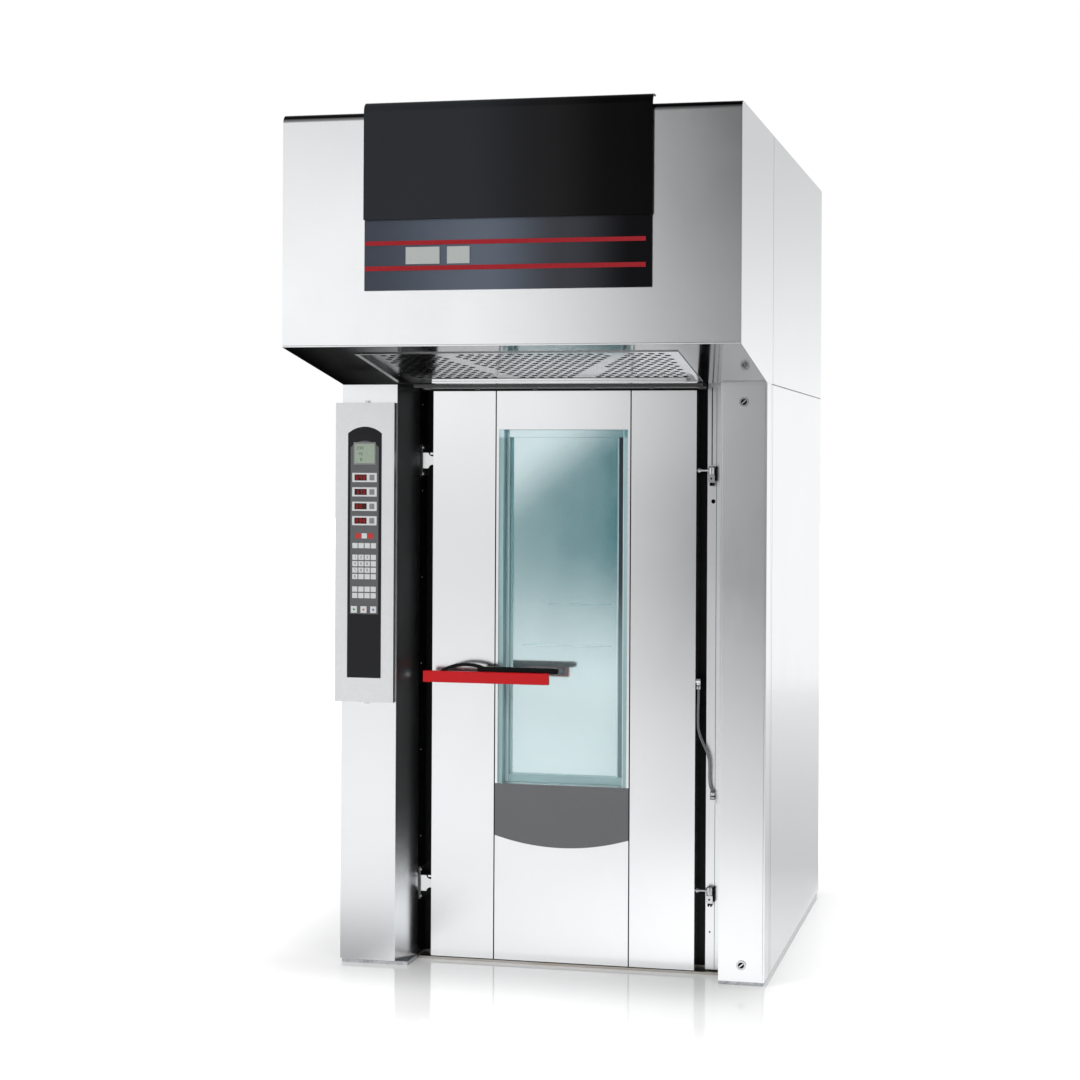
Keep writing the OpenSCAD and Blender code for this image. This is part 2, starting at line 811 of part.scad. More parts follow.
// U-shaped heater tubes hung from a bar on the liner's back
module heater_bank() {
    y = air_wall_y + wall_t + heater_d / 2;
    top = ceiling_z - 100;
    foot = floor_z + 330;
    half_u = 35;
    step = (chamber_w - 180) / heaters;
    color("sienna") place() {
        block([-chamber_w / 2, chamber_w / 2 - 60], [y - 20, liner_back], [top, top + 6]);
        for (i = [0:heaters - 1]) {
            x = -chamber_w / 2 + 60 + step * (i + 0.5);
            for (side = [-1, 1])
                rod_up(x + side * half_u, y, [foot, top + 30], heater_r);
            translate([x, y, foot]) rotate([-90, 0, 0])
                rotate_extrude(angle = 180) translate([half_u, 0]) circle(r = heater_r);
        }
    }
}

// Iron bars that flash the spray water to steam
module steam_cascade() {
    y0 = air_wall_y + wall_t + 20;
    y1 = liner_back - 20;
    color([0.25, 0.23, 0.22]) place() {
        both_sides() block([cascade_half, cascade_half + 10], [y0, y1],
            [floor_z, floor_z + cascade_h]);
        for (i = [0:4]) block([-cascade_half, cascade_half], [y0 + 5, y1 - 5],
            [floor_z + 20 + i * bar_step, floor_z + 42 + i * bar_step]);
    }
}

// Spray bar over the cascade, riser and the run to the inlet at the back
module water_pipe() {
    spray_z = floor_z + 270;
    color("peru") place() {
        rod_side([-cascade_half, riser_x], riser_y, spray_z, pipe_r);
        rod_up(riser_x, riser_y, [spray_z, service_z], pipe_r);
        rod_back(riser_x, [riser_y, body_d + rear_out], service_z, pipe_r);
        for (z = [spray_z, service_z])
            translate([riser_x, riser_y, z]) sphere(r = pipe_r + 2);
        rod_back(riser_x, [body_d, body_d + rear_out], service_z, 13.2);
        both_sides() {
            block([cascade_half - 15, cascade_half - 5], [riser_y - 4, riser_y + 4],
                [floor_z + 230, spray_z]);
            block([cascade_half - 5, cascade_half + 15], [riser_y - 6, riser_y + 6],
                [floor_z + 230, floor_z + 236]);
        }
    }
}

module fan_plenum() {
    color("silver") place() difference() {
        block([-plenum_half, plenum_half], [plenum_y0, plenum_y1], [liner_top, plenum_top]);
        block([-plenum_half + wall_t, plenum_half - wall_t],
            [plenum_y0 + wall_t, plenum_y1 - wall_t], [liner_top - eps, plenum_top - wall_t]);
        rod_up(0, fan_y, [plenum_top - wall_t - eps, plenum_top + eps], fan_shaft_r + 3);
    }
}

module fan_motor() {
    z = plenum_top;
    color("steelblue") place() difference() {
        union() {
            rod_up(0, fan_y, [z, z + 12], 110);
            rod_up(0, fan_y, [z + 12, z + 230], 88);
            rod_up(0, fan_y, [z + 230, z + 270], 78);
            block([60, 110], [fan_y - 45, fan_y + 45], [z + 80, z + 180]);
            for (a = [0:15:345]) translate([0, fan_y, z + 30]) rotate(a)
                translate([80, -1.5, 0]) cube([16, 3, 180]);
        }
        rod_up(0, fan_y, [z - eps, z + 60], fan_shaft_r + run_clear);
    }
}

// A backward-bladed wheel: back plate on top, ring below
module wheel(r, h, hub_r, shaft_r0, shaft_up) {
    plate = 3;
    translate([0, 0, h - plate]) cylinder(h = plate, r = r);
    difference() {
        cylinder(h = plate, r = r);
        translate([0, 0, -eps]) cylinder(h = plate + 2 * eps, r = r * 0.62);
    }
    translate([0, 0, h * 0.3]) cylinder(h = h * 0.7, r = hub_r);
    for (i = [0:blades - 1]) rotate(i * 360 / blades)
        translate([r * 0.64, 0, plate - 0.5]) rotate(32)
            cube([r * 0.36, 3, h - 2 * plate + 1]);
    translate([0, 0, h - 1]) cylinder(h = shaft_up + 1, r = shaft_r0);
}

module circulation_fan() {
    color("darkgray") place() translate([0, fan_y, fan_z])
        wheel(fan_r, fan_h, 40, fan_shaft_r, plenum_top - fan_z - fan_h + 55);
}

// The shaft's bearing on the deck and, over it, a worm gearbox on legs with its motor
module rack_drive() {
    shaft_bearing();
    rack_motor();
}

module shaft_bearing() {
    z = deck_z + deck_t;
    color("slategray") place() difference() {
        union() {
            block([-90, 90], [turn_y - 90, turn_y + 90], [z, z + 16]);
            rod_up(0, turn_y, [z + 16, z + 60], 60);
        }
        rod_up(0, turn_y, [z - eps, z + 60 + eps], shaft_r + run_clear);
    }
}

module rack_motor() {
    z = deck_z + deck_t;
    z0 = z + 90;
    color("steelblue") place() difference() {
        union() {
            block([-90, 90], [turn_y - 90, turn_y + 90], [z0, z0 + 150]);
            for (sx = [-1, 1], sy = [-1, 1])
                block([sx * 100 - 10, sx * 100 + 10], [turn_y + sy * 100 - 10,
                    turn_y + sy * 100 + 10], [z, z0 + 10]);
            block([-110, 110], [turn_y - 110, turn_y + 110], [z0, z0 + 10]);
            rod_side([90, 340], turn_y, z0 + 80, 65);
            rod_side([340, 380], turn_y, z0 + 80, 58);
            block([160, 260], [turn_y - 40, turn_y + 40], [z0 + 130, z0 + 175]);
        }
        rod_up(0, turn_y, [z0 - eps, z0 + 150 + eps], shaft_r + run_clear);
    }
}

// Drive shaft with a cross arm and two upturned hooks for the trolley's top bar
module rack_carrier() {
    z = trolley_h + 50;
    half = carrier_span / 2;
    bearing_top = deck_z + deck_t + 60;
    color("darkgray") place() {
        rod_up(0, turn_y, [z, deck_z + deck_t + 230], shaft_r);
        rod_up(0, turn_y, [bearing_top + 0.3, bearing_top + 20], shaft_r + 14);
        block([-half, half], [turn_y - 25, turn_y + 25], [z - 10, z + 20]);
        for (s = [-1, 1]) {
            x = s * (half - 10);
            block([x - 10, x + 10], [turn_y - 25, turn_y + 25], [z - 50, z]);
            block([min(x, x - s * 50), max(x, x - s * 50)], [turn_y - 25, turn_y + 25],
                [z - 50, z - 40]);
        }
    }
}

// ---- steam outlet ----

// Pipe from the chamber and box into the hood, with the flap's motor beside the pipe
module damper_duct() {
    damper_motor();
    box_z0 = damper_top - 10;
    box_z1 = damper_top + 130;
    half = 75;
    color("silver") place() difference() {
        union() {
            rod_up(damper_x, damper_y, [liner_top, damper_top], damper_r);
            block([damper_x - half, damper_x + half], [hood_back, damper_y + half],
                [box_z0, box_z1]);
        }
        rod_up(damper_x, damper_y, [liner_top - eps, damper_top], damper_in);
        block([damper_x - half + 2, damper_x + half - 2],
            [hood_back - eps, damper_y + half - 2], [box_z0 + 2, box_z1 - 2]);
        rod_side([damper_x - damper_r - 2, damper_x + damper_r + 2], damper_y, damper_z,
            damper_shaft_r + run_clear);
    }
}

module damper_motor() {
    x0 = damper_x + damper_r + 1;
    color("dimgray") place() difference() {
        union() {
            block([x0 + 4, x0 + 64], [damper_y - 40, damper_y + 40],
                [damper_z - 35, damper_z + 35]);
            block([x0 + 10, x0 + 58], [damper_y - 30, damper_y + 30],
                [deck_z + deck_t, damper_z - 35]);
        }
        rod_side([x0, x0 + 40], damper_y, damper_z, damper_shaft_r + run_clear);
    }
}

module damper_flap() {
    color("gray") place() {
        rod_up(damper_x, damper_y, [damper_z - 1.5, damper_z + 1.5], damper_in - 0.5);
        rod_side([damper_x - damper_r - 6, damper_x + damper_r + 35], damper_y, damper_z,
            damper_shaft_r);
    }
}

// ---- electrics ----

module switch_box() {
    x0 = -hw + sheet_t + switch_gap;
    x1 = x0 + switch_w;
    y0 = hood_back + switch_back;
    y1 = y0 + switch_d;
    z0 = deck_z + deck_t;
    z1 = z0 + switch_h;
    row_step = (switch_h - 50) / 3;
    unit_step = (switch_d - 82) / 7;
    color("lightsteelblue") place() {
        difference() {
            block([x0, x1], [y0, y1], [z0, z1]);
            block([x0 + wall_t, x1 + eps], [y0 + wall_t, y1 - wall_t],
                [z0 + wall_t, z1 - wall_t]);
        }
        for (row = [0:2]) {
            z = z0 + 70 + row * row_step;
            block([x0 + wall_t, x0 + 12], [y0 + 30, y1 - 30], [z, z + 35]);
            for (i = [0:6]) block([x0 + 12, x0 + 85],
                [y0 + 45 + i * unit_step, y0 + 90 + i * unit_step],
                [z - 20, z + 60]);
        }
    }
}

module mains_gland() {
    y = body_d;
    color("dimgray") place() difference() {
        union() {
            rod_back(gland_x, [y - 30, y + 20], service_z, gland_r);
            translate([gland_x, y, service_z]) rotate([-90, 0, 0])
                cylinder(h = 8, r = gland_r + 6, $fn = 6);
            rod_back(gland_x, [y + 14, y + rear_out], service_z, gland_r - 3);
            rod_back(gland_x, [y - sheet_t - 8, y - sheet_t], service_z, gland_r + 5);
        }
        rod_back(gland_x, [y - 30 - eps, y + rear_out + eps], service_z, gland_r - 8);
    }
}

// ---- hood ----

// The hood's side view, drawn in by t; the inside runs out through the open bottom and back
module hood_outline(t) {
    r = hood_edge_r - t;
    out = t > 0 ? 40 : 0;
    y0 = -hood_reach + t;
    arc = [for (a = [0:10:90]) [y0 + r * (1 - sin(90 - a)), body_h - t - r * (1 - sin(a))]];
    polygon(concat([[y0, hood_lip_z - out]], arc, [[hood_back + out, body_h - t],
        [hood_back + out, hood_z - out], [0, hood_z - out]]));
}

module hood_casing() {
    color("gainsboro") place() {
        difference() {
            folded([-hw, hw]) hood_outline(0);
            folded([-hw + sheet_t, hw - sheet_t]) hood_outline(sheet_t);
            rod_up(0, flue_y, [hood_top_in - eps, body_h + eps], flue_r);
        }
        difference() {
            block([-hw + sheet_t, hw - sheet_t], [hood_back - sheet_t, hood_back],
                [deck_z, hood_top_in]);
            block([damper_x - 73, damper_x + 73], [hood_back - sheet_t - eps, hood_back + eps],
                [damper_top - 8, damper_top + 128]);
        }
    }
}

// The polished underside, with a hole for the filter and a flat soffit over the door
module hood_tray() {
    x = hw - sheet_t;
    z = hood_z;
    t = sheet_t;
    lip = hood_lip_z - t * tan(slope);
    color("silver") place() difference() {
        folded([-x, x]) polygon([[-hood_reach + t, lip], [0, z], [frame_y, z],
            [frame_y, z + t], [0, z + t], [-hood_reach + t, lip + t]]);
        on_slope() block([-filter_w / 2, filter_w / 2],
            [filter_front, filter_front + filter_l], [-10, 10]);
        for (side = [-1, 1]) block([side * (hw - sheet_t - post_w / 2) - post_w / 2 - eps,
            side * (hw - sheet_t - post_w / 2) + post_w / 2 + eps],
            [splay_d + 2 - eps, splay_d + 2 + post_w + eps], [z - eps, z + t + eps]);
    }
}

// Distance of a point from the line through a and b
function line_gap(p, a, b) = abs(cross(b - a, p - a)) / norm(b - a);

// Rim round the opening and the perforated plate on it, with two plain diagonal bands
module grease_filter() {
    w = filter_w / 2;
    y0 = filter_front;
    y1 = filter_front + filter_l;
    row = hole_pitch * sin(60);
    rows = floor((filter_l - 2 * filter_rim - 2 * hole_r) / row);
    cols = floor((w - filter_rim - hole_r - hole_pitch / 2) / hole_pitch);
    band_l = [[-248, y0 + 40], [-152, y1 - 110]];
    band_r = [[322, y0 + 50], [153, y1 - 90]];
    holes = [for (j = [0:rows], i = [-cols:cols])
        let (p = [(i + (j % 2) / 2) * hole_pitch, filter_mid_y + (j - rows / 2) * row])
        if (line_gap(p, band_l[0], band_l[1]) > hole_r + band_half
            && line_gap(p, band_r[0], band_r[1]) > hole_r + band_half) p];
    color("darkgray") place() on_slope() {
        difference() {
            block([-w + 0.5, w - 0.5], [y0 + 0.5, y1 - 0.5], [-3, 10 + filter_t]);
            block([-w + filter_rim, w - filter_rim], [y0 + filter_rim, y1 - filter_rim],
                [-4, 11 + filter_t]);
        }
        translate([0, 0, 10]) linear_extrude(filter_t) difference() {
            translate([-w + filter_rim - 1, y0 + filter_rim - 1])
                square([2 * (w - filter_rim + 1), filter_l - 2 * filter_rim + 2]);
            for (p = holes) translate(p) circle(r = hole_r, $fn = 16);
        }
        for (side = [-1, 1]) block([side * (w - 60) - 30, side * (w - 60) + 30],
            [y1 - 1, y1 + 12], [sheet_t + 0.2, sheet_t + 4]);
        for (side = [-1, 1]) block([side * (w - 60) - 30, side * (w - 60) + 30],
            [y0 - 12, y0 + 1], [sheet_t + 0.2, sheet_t + 4]);
    }
}

// A stepped rail that catches drips behind the filter
module drip_rail() {
    x0 = left_throat + 2;
    x1 = hinge_post_x0 - 4;
    color("silver") place() {
        block([x0, x1], [30, 60], [hood_z - 5, hood_z]);
        block([x0, x1], [40, 60], [hood_z - 10, hood_z - 5]);
    }
}

// Smoked sheet in front of the hood, folded back over its top, on four spacer studs
module visor() {
    y0 = visor_front_y;
    top = body_h + visor_over;
    r = visor_over + 2;
    function arc(s) = [for (a = [0:15:90])
        [y0 + s + (r - s) * (1 - cos(a)), top - s - (r - s) * (1 - sin(a))]];
    inner = arc(visor_t);
    back = y0 + visor_fold;
    color([0.1, 0.1, 0.12]) place() {
        folded([-visor_w / 2, visor_w / 2]) polygon(concat([[y0, visor_z]], arc(0),
            [[back, top], [back, top - visor_t]],
            [for (i = [len(inner) - 1:-1:0]) inner[i]], [[y0 + visor_t, visor_z]]));
        for (side = [-1, 1], z = [visor_z + 40, body_h - 60])
            rod_back(side * (visor_w / 2 - 40), [y0 + visor_t, -hood_reach], z, 6);
    }
}

// Dark strip under the visor with two red lines and two number windows
module display_panel() {
    w = visor_w / 2 - 2;
    y0 = -hood_reach - panel_t;
    h = visor_z - panel_z;
    color([0.27, 0.3, 0.36]) place() {
        block([-w, w], [y0, -hood_reach], [panel_z, visor_z]);
        for (z = [panel_z + h * 0.3, panel_z + h * 0.67])
            block([-w + 7, w - 12], [y0 - 0.6, y0], [z - 7, z + 7]);
        block([-w + 133, -w + 238], [y0 - 1, y0], [panel_z + 78, panel_z + 129]);
        block([-w + 261, -w + 330], [y0 - 1, y0], [panel_z + 78, panel_z + 129]);
    }
}

// Fan can under the hood's top, the motor on its arms and the flue collar above
module exhaust_fan_box() {
    z1 = hood_top_in;
    z0 = z1 - fan_box_h;
    color("lightgray") place() {
        difference() {
            rod_up(0, flue_y, [z0, z1], fan_box_r);
            rod_up(0, flue_y, [z0 + 2, z1 - 2], fan_box_r - 2);
            rod_up(0, flue_y, [z0 - eps, z0 + 2 + eps], exhaust_wheel_r * 0.7);
            rod_up(0, flue_y, [z1 - 2 - eps, z1 + eps], flue_r - 2);
        }
        difference() {
            rod_up(0, flue_y, [z1 - 2, body_h + flue_h], flue_r);
            rod_up(0, flue_y, [z1 - 3, body_h + flue_h + eps], flue_r - 2);
        }
        difference() {
            rod_up(0, flue_y, [body_h, body_h + 3], flue_r + 30);
            rod_up(0, flue_y, [body_h - eps, body_h + 3 + eps], flue_r - 1);
        }
        difference() {
            union() {
                rod_up(0, flue_y, [z1 - 120, z1 - 40], 55);
                for (a = [90, 210, 330]) translate([0, flue_y, z1 - 60]) rotate(a)
                    translate([50, -8, 0]) cube([fan_box_r - 51, 16, 6]);
            }
            rod_up(0, flue_y, [z1 - 121, z1 - 80], 10 + run_clear);
        }
    }
}

module exhaust_wheel() {
    h = 80;
    z0 = hood_top_in - 130 - h;
    color("darkgray") place() translate([0, flue_y, z0])
        wheel(exhaust_wheel_r, h, 28, 10, 45);
}

// ---- control box ----

// Holes for the stems of the three push keys
module stem_holes() {
    for (i = [0:2]) rod_back(key_x(i) + key_w / 2, [ctrl_y0 - 5, ctrl_y0 + 3],
        key_row_z + key_h / 2, stem_r + run_clear);
}

module control_box() {
    x1 = ctrl_x1;
    z1 = ctrl_z + ctrl_h;
    color("gainsboro") place() {
        difference() {
            block([ctrl_x0, x1], [ctrl_y0, 0], [ctrl_z, z1]);
            block([ctrl_x0 + 2, x1 - 2], [ctrl_y0 + 2, eps], [ctrl_z + 2, z1 - 2]);
            stem_holes();
        }
        block([ctrl_mid - 70, ctrl_mid + 70], [ctrl_y0 + 8, ctrl_y0 + 10],
            [ctrl_z + 60, z1 - 60]);
        for (z = [ctrl_z + 100, z1 - 102], x = [ctrl_mid - 60, ctrl_mid + 52])
            block([x, x + 8], [ctrl_y0 + 2, ctrl_y0 + 8], [z, z + 8]);
        for (z = [ctrl_z - 8, z1]) block([ctrl_mid - 8, ctrl_mid + 8], [-3, 0], [z, z + 8]);
        for (z = [ctrl_z - 3, z1 + 3]) rod_back(ctrl_mid, [-6, -2], z, 4);
    }
}

module control_fascia() {
    color([0.2, 0.2, 0.22]) place() difference() {
        union() {
            translate([ctrl_mid, 0, fascia_z0]) upright([ctrl_y0 - fascia_t, ctrl_y0])
                arched(fascia_w, fascia_h, fascia_arch);
            translate([ctrl_mid, 0, foil_z0])
                upright([ctrl_y0 - fascia_t - foil_t, ctrl_y0 - fascia_t])
                arched(foil_w, foil_h, foil_arch);
        }
        stem_holes();
    }
}

// The text window, four number windows and three signal lamps
module control_displays() {
    y0 = key_y;
    color([0.66, 0.72, 0.63]) place() {
        block([ctrl_mid - 38, ctrl_mid + 38], [y0 - 1, y0], [foil_z0 + 488, foil_z0 + 561]);
        for (i = [0:3]) block([ctrl_mid - pad_w / 2, ctrl_mid + pad_w / 2], [y0 - 0.8, y0],
            [led_z + i * led_step, led_z + i * led_step + 30]);
    }
}

// Foil key fields: one row of signal keys, one of four, the number pad and the function keys
module control_keys() {
    y0 = key_y - 0.6;
    cell = 21;
    rows = [246, 214, 176, 155, 134, 113, 72, 51];
    color("whitesmoke") place() for (j = [0:len(rows) - 1])
        for (i = [0:(j == 0 ? 2 : 3)]) {
            x = j == 0 ? ctrl_mid - 31.5 + i * 21 : ctrl_mid - 42 + i * cell;
            z = foil_z0 + rows[j];
            block([x + 1.5, x + cell - 1.5], [y0, key_y], [z + 1, z + 18]);
        }
}

// One of the three larger push keys: a cap in front of the foil on a stem through the box
module push_key(i) {
    x = key_x(i);
    y = key_y - key_travel - 0.1;
    place() {
        block([x, x + key_w], [y - 1.5, y], [key_row_z, key_row_z + key_h]);
        rod_back(x + key_w / 2, [y - 1, ctrl_y0 + 5], key_row_z + key_h / 2, stem_r);
    }
}

module key_start() color("white") push_key(0);
module key_stop() color("white") push_key(1);
module key_steam() color("white") push_key(2);

// ---- door leaf ----

// The leaf's body: insulated core, window lining, latch channel and rod guides
module door_core() {
    y0 = leaf_y + skin_t;
    cx = leaf_x0 + skin_t;
    color("silver") place() {
        difference() {
            block([cx, leaf_x1 - skin_t], [y0, leaf_back], [leaf_z0, leaf_z1]);
            block([win_x0, win_x1], [y0 - eps, leaf_back + eps], [window_z, win_z1]);
            block([cx + 2, channel_x1 - 2], [y0 + 2, leaf_back - 2],
                [leaf_z0 + 2, leaf_z1 - 2]);
            for (z = [striker_low_z, striker_high_z]) {
                h = hook_level(z);
                block([cx - eps, cx + 2 + eps], [rod_y - 5, rod_y + 5],
                    [h - 2, h + hook_t + 2 + pinion_r * PI / 2]);
            }
            rod_back(spindle_x, [y0 - eps, y0 + 2 + eps], spindle_z, spindle_r + run_clear);
        }
        for (z = [leaf_z0 + 150, spindle_z - 120, spindle_z + 120, leaf_z1 - 150])
            difference() {
                block([cx + 1, channel_x1 - 1], [y0 + 1, leaf_back - 1], [z, z + 12]);
                rod_up(rod_x, rod_y, [z - eps, z + 12 + eps], rod_r + run_clear);
            }
    }
}

// The front sheets, which wrap both upright edges, and the grooves between them
module door_skins() {
    y = [leaf_y, leaf_y + skin_t];
    z = [leaf_z0, leaf_z1];
    wrap = [leaf_y + skin_t, leaf_back];
    color("gainsboro") place() {
        difference() {
            union() {
                block([leaf_x0, groove0 - groove_w / 2], y, z);
                block([leaf_x0, leaf_x0 + skin_t], wrap, z);
            }
            rod_back(spindle_x, [leaf_y - eps, y[1] + eps], spindle_z,
                spindle_r + run_clear);
            for (s = [striker_low_z, striker_high_z]) {
                h = hook_level(s);
                block([leaf_x0 - eps, leaf_x0 + skin_t + eps], [rod_y - 5, rod_y + 5],
                    [h - 2, h + hook_t + 2 + pinion_r * PI / 2]);
            }
        }
        block([groove1 + groove_w / 2, leaf_x1], y, z);
        difference() {
            block([leaf_x1 - skin_t, leaf_x1], wrap, z);
            for (h = [hinge_low_z, hinge_high_z])
                rod_side([leaf_x1 - skin_t - eps, leaf_x1 + eps], axis_y, h, bolt_r);
        }
        difference() {
            block([strip_x0, strip_x1], y, z);
            block([win_x0, win_x1], [leaf_y - eps, y[1] + eps], [window_z, win_z1]);
        }
    }
}

// The grey plate with an arched foot under the window
module door_trim() {
    w = strip_x1 - strip_x0;
    color([0.42, 0.43, 0.44]) place()
        translate([(strip_x0 + strip_x1) / 2, 0, window_z]) mirror([0, 0, 1])
            upright([leaf_y - trim_t, leaf_y]) arched(w, trim_side_h, trim_arc);
}

// The hinges' moving halves: eyes on threaded bolts, each with a lock nut
module hinge_eyes() {
    half = eye_w / 2;
    color("lightgray") place() for (z = [hinge_low_z, hinge_high_z]) {
        difference() {
            intersection() {
                block([axis_x - half, axis_x + half], [axis_y - half, axis_y + half],
                    [z - eye_h / 2, z + eye_h / 2]);
                rod_up(axis_x, axis_y, [z - eye_h, z + eye_h], half + 2);
            }
            rod_up(axis_x, axis_y, [z - eye_h, z + eye_h], pin_r + pin_clear);
        }
        rod_side([leaf_x1 - skin_t, axis_x - half + 1], axis_y, z, bolt_r);
        rod_side([leaf_x1, leaf_x1 + 6], axis_y, z, nut_r);
    }
}

// The rose round the spindle, and the elbow that the door cable hangs from
module door_fittings() {
    start = cable_route[0];
    color("lightgray") place() {
        difference() {
            rod_back(spindle_x, [leaf_y - 6, leaf_y], spindle_z, 16);
            rod_back(spindle_x, [leaf_y - 7, leaf_y + eps], spindle_z,
                spindle_r + run_clear);
        }
        rod_side([leaf_x1, axis_x + start[0] + 7], axis_y, spindle_z, 8);
        rod_up(axis_x + start[0], axis_y, [spindle_z + start[2] + 0.3, spindle_z], 7);
    }
}

// The two panes
module door_glass() {
    color([0.7, 0.85, 0.88, 0.5]) place() for (y = [outer_pane_y, inner_pane_y])
        block([win_x0, win_x1], [y, y + glass_t], [window_z, win_z1]);
}

// The lining frame in front of the inner pane, and the lamp rails between the panes
module window_frame() {
    y = inner_pane_y;
    color("silver") place() {
        difference() {
            block([win_x0, win_x1], [y - 22, y], [window_z, win_z1]);
            block([win_x0 + reveal_w, win_x1 - reveal_w], [y - 23, y + eps],
                [window_z + reveal_w, win_z1 - reveal_w]);
        }
        for (x = [win_x0, win_x1 - 14])
            block([x, x + 14], [outer_pane_y + glass_t, y - 22], [window_z, win_z1]);
    }
}

// A tube along points, with a ring of sides at each point
module tube(points, r, sides) {
    n = len(points);
    rings = [for (i = [0:n - 1])
        let (t = points[min(i + 1, n - 1)] - points[max(i - 1, 0)],
             u = cross(t, [0, 1, 0]) / norm(cross(t, [0, 1, 0])),
             v = cross(t, u) / norm(t))
        for (k = [0:sides - 1])
            points[i] + r * (u * cos(k * 360 / sides) + v * sin(k * 360 / sides))];
    faces = concat([[for (k = [sides - 1:-1:0]) k]],
        [[for (k = [0:sides - 1]) (n - 1) * sides + k]],
        [for (i = [0:n - 2], k = [0:sides - 1]) let (a = i * sides + k,
            b = i * sides + (k + 1) % sides) [a, b, b + sides, a + sides]]);
    polyhedron(rings, faces, convexity = 6);
}

// The armoured cable from the leaf's elbow to the post's gland, near the hinge axis
module door_cable() {
    color("gray") place() translate([axis_x, axis_y, spindle_z])
        tube(cable_route, cable_r, 10);
}

// ---- latch ----

// Underside of a hook when the door is latched, just above the striker's tongue
function hook_level(z) = z + tongue_h / 2 + 2;

module pinion() {
    for (i = [0:pinion_teeth - 1]) rotate(i * 360 / pinion_teeth)
        polygon([[pinion_r - tooth_down - 1, -tooth_pitch * 0.24],
            [pinion_r + tooth_up, -tooth_pitch * 0.12],
            [pinion_r + tooth_up, tooth_pitch * 0.12],
            [pinion_r - tooth_down - 1, tooth_pitch * 0.24]]);
    circle(r = pinion_r - tooth_down);
}

// The red bar in front of the lever
module handle_grip() {
    color([0.75, 0.12, 0.13]) place() block([grip_x0, grip_x1], [grip_y0, grip_y1],
        [spindle_z - grip_h / 2, spindle_z + grip_h / 2]);
}

// The black lever plate with its bow, and the spindle with the pinion on its end
module handle_lever() {
    bow_x0 = spindle_x + 8;
    big = (pow(bow_w / 2, 2) + pow(bow_rise, 2)) / (2 * bow_rise);
    bow_x = bow_x0 + bow_w / 2;
    color([0.08, 0.08, 0.08]) place() {
        upright([lever_y0, lever_y1]) {
            translate([spindle_x, spindle_z]) circle(r = 16);
            translate([spindle_x, spindle_z - 10]) square([grip_x1 - 8 - spindle_x, 20]);
            translate([bow_x0 + bow_w * 0.7, bar_z0])
                square([grip_x1 + bar_past - bow_x0 - bow_w * 0.7 - bar_h / 2, bar_h]);
            translate([grip_x1 + bar_past - bar_h / 2, bar_z0 + bar_h / 2])
                circle(r = bar_h / 2);
            translate([bow_x0 + bow_w * 0.7, spindle_z])
                square([bow_w * 0.5, bar_z0 - spindle_z + 2]);
            intersection() {
                translate([bow_x0, spindle_z]) square([bow_w, 90]);
                difference() {
                    translate([bow_x, bar_z0 + bow_rise - big]) circle(r = big, $fn = 180);
                    translate([bow_x, bar_z0 + bow_rise - big])
                        circle(r = big - bow_t, $fn = 180);
                }
            }
        }
        rod_back(spindle_x, [lever_y1 - 1, rod_y + pinion_w / 2], spindle_z, spindle_r);
        translate([spindle_x, rod_y + pinion_w / 2, spindle_z]) rotate([90, 0, 0])
            linear_extrude(pinion_w) pinion();
    }
}

// The rod in the leaf's edge with its rack and two hooks
module latch_rod() {
    color("darkgray") place() {
        rod_up(rod_x, rod_y, [leaf_z0 + 130, leaf_z1 - 130], rod_r);
        translate([0, rod_y + pinion_w / 2, spindle_z]) rotate([90, 0, 0])
            linear_extrude(pinion_w) {
                translate([rod_x, -rack_down * tooth_pitch])
                    square([rod_r + 0.5, (rack_down + rack_up) * tooth_pitch]);
                for (i = [-rack_down:rack_up - 1])
                    translate([rack_x, (i + 0.5) * tooth_pitch])
                    polygon([[-tooth_down - 0.5, -tooth_pitch * 0.24],
                        [tooth_up, -tooth_pitch * 0.12], [tooth_up, tooth_pitch * 0.12],
                        [-tooth_down - 0.5, tooth_pitch * 0.24]]);
            }
        for (z = [striker_low_z, striker_high_z]) {
            h = hook_level(z);
            block([leaf_x0 - hook_reach, rod_x], [rod_y - 4, rod_y + 4], [h, h + hook_t]);
        }
    }
}

base_frame();
support_frame();
top_deck();
left_column();
right_column();
service_cover();
lock_upper();
lock_lower();
side_panels();
back_panels();
door_frame();
door_gasket();
door_sill();
hinge_post();
hinge_blocks();
strikers();
top_seal();
seal_clips();
chamber_floor();
chamber_liner();
insulation();
air_walls();
heater_bank();
steam_cascade();
water_pipe();
fan_plenum();
fan_motor();
circulation_fan();
rack_drive();
rack_carrier();
damper_duct();
damper_flap();
switch_box();
mains_gland();
hood_casing();
hood_tray();
grease_filter();
drip_rail();
visor();
display_panel();
exhaust_fan_box();
exhaust_wheel();
control_box();
control_fascia();
control_displays();
control_keys();
key_start();
key_stop();
key_steam();
door_core();
door_skins();
door_trim();
window_frame();
door_glass();
hinge_eyes();
door_fittings();
door_cable();
handle_grip();
handle_lever();
latch_rod();
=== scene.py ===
import json
import math

import bmesh
import bpy
from mathutils import Matrix, Vector


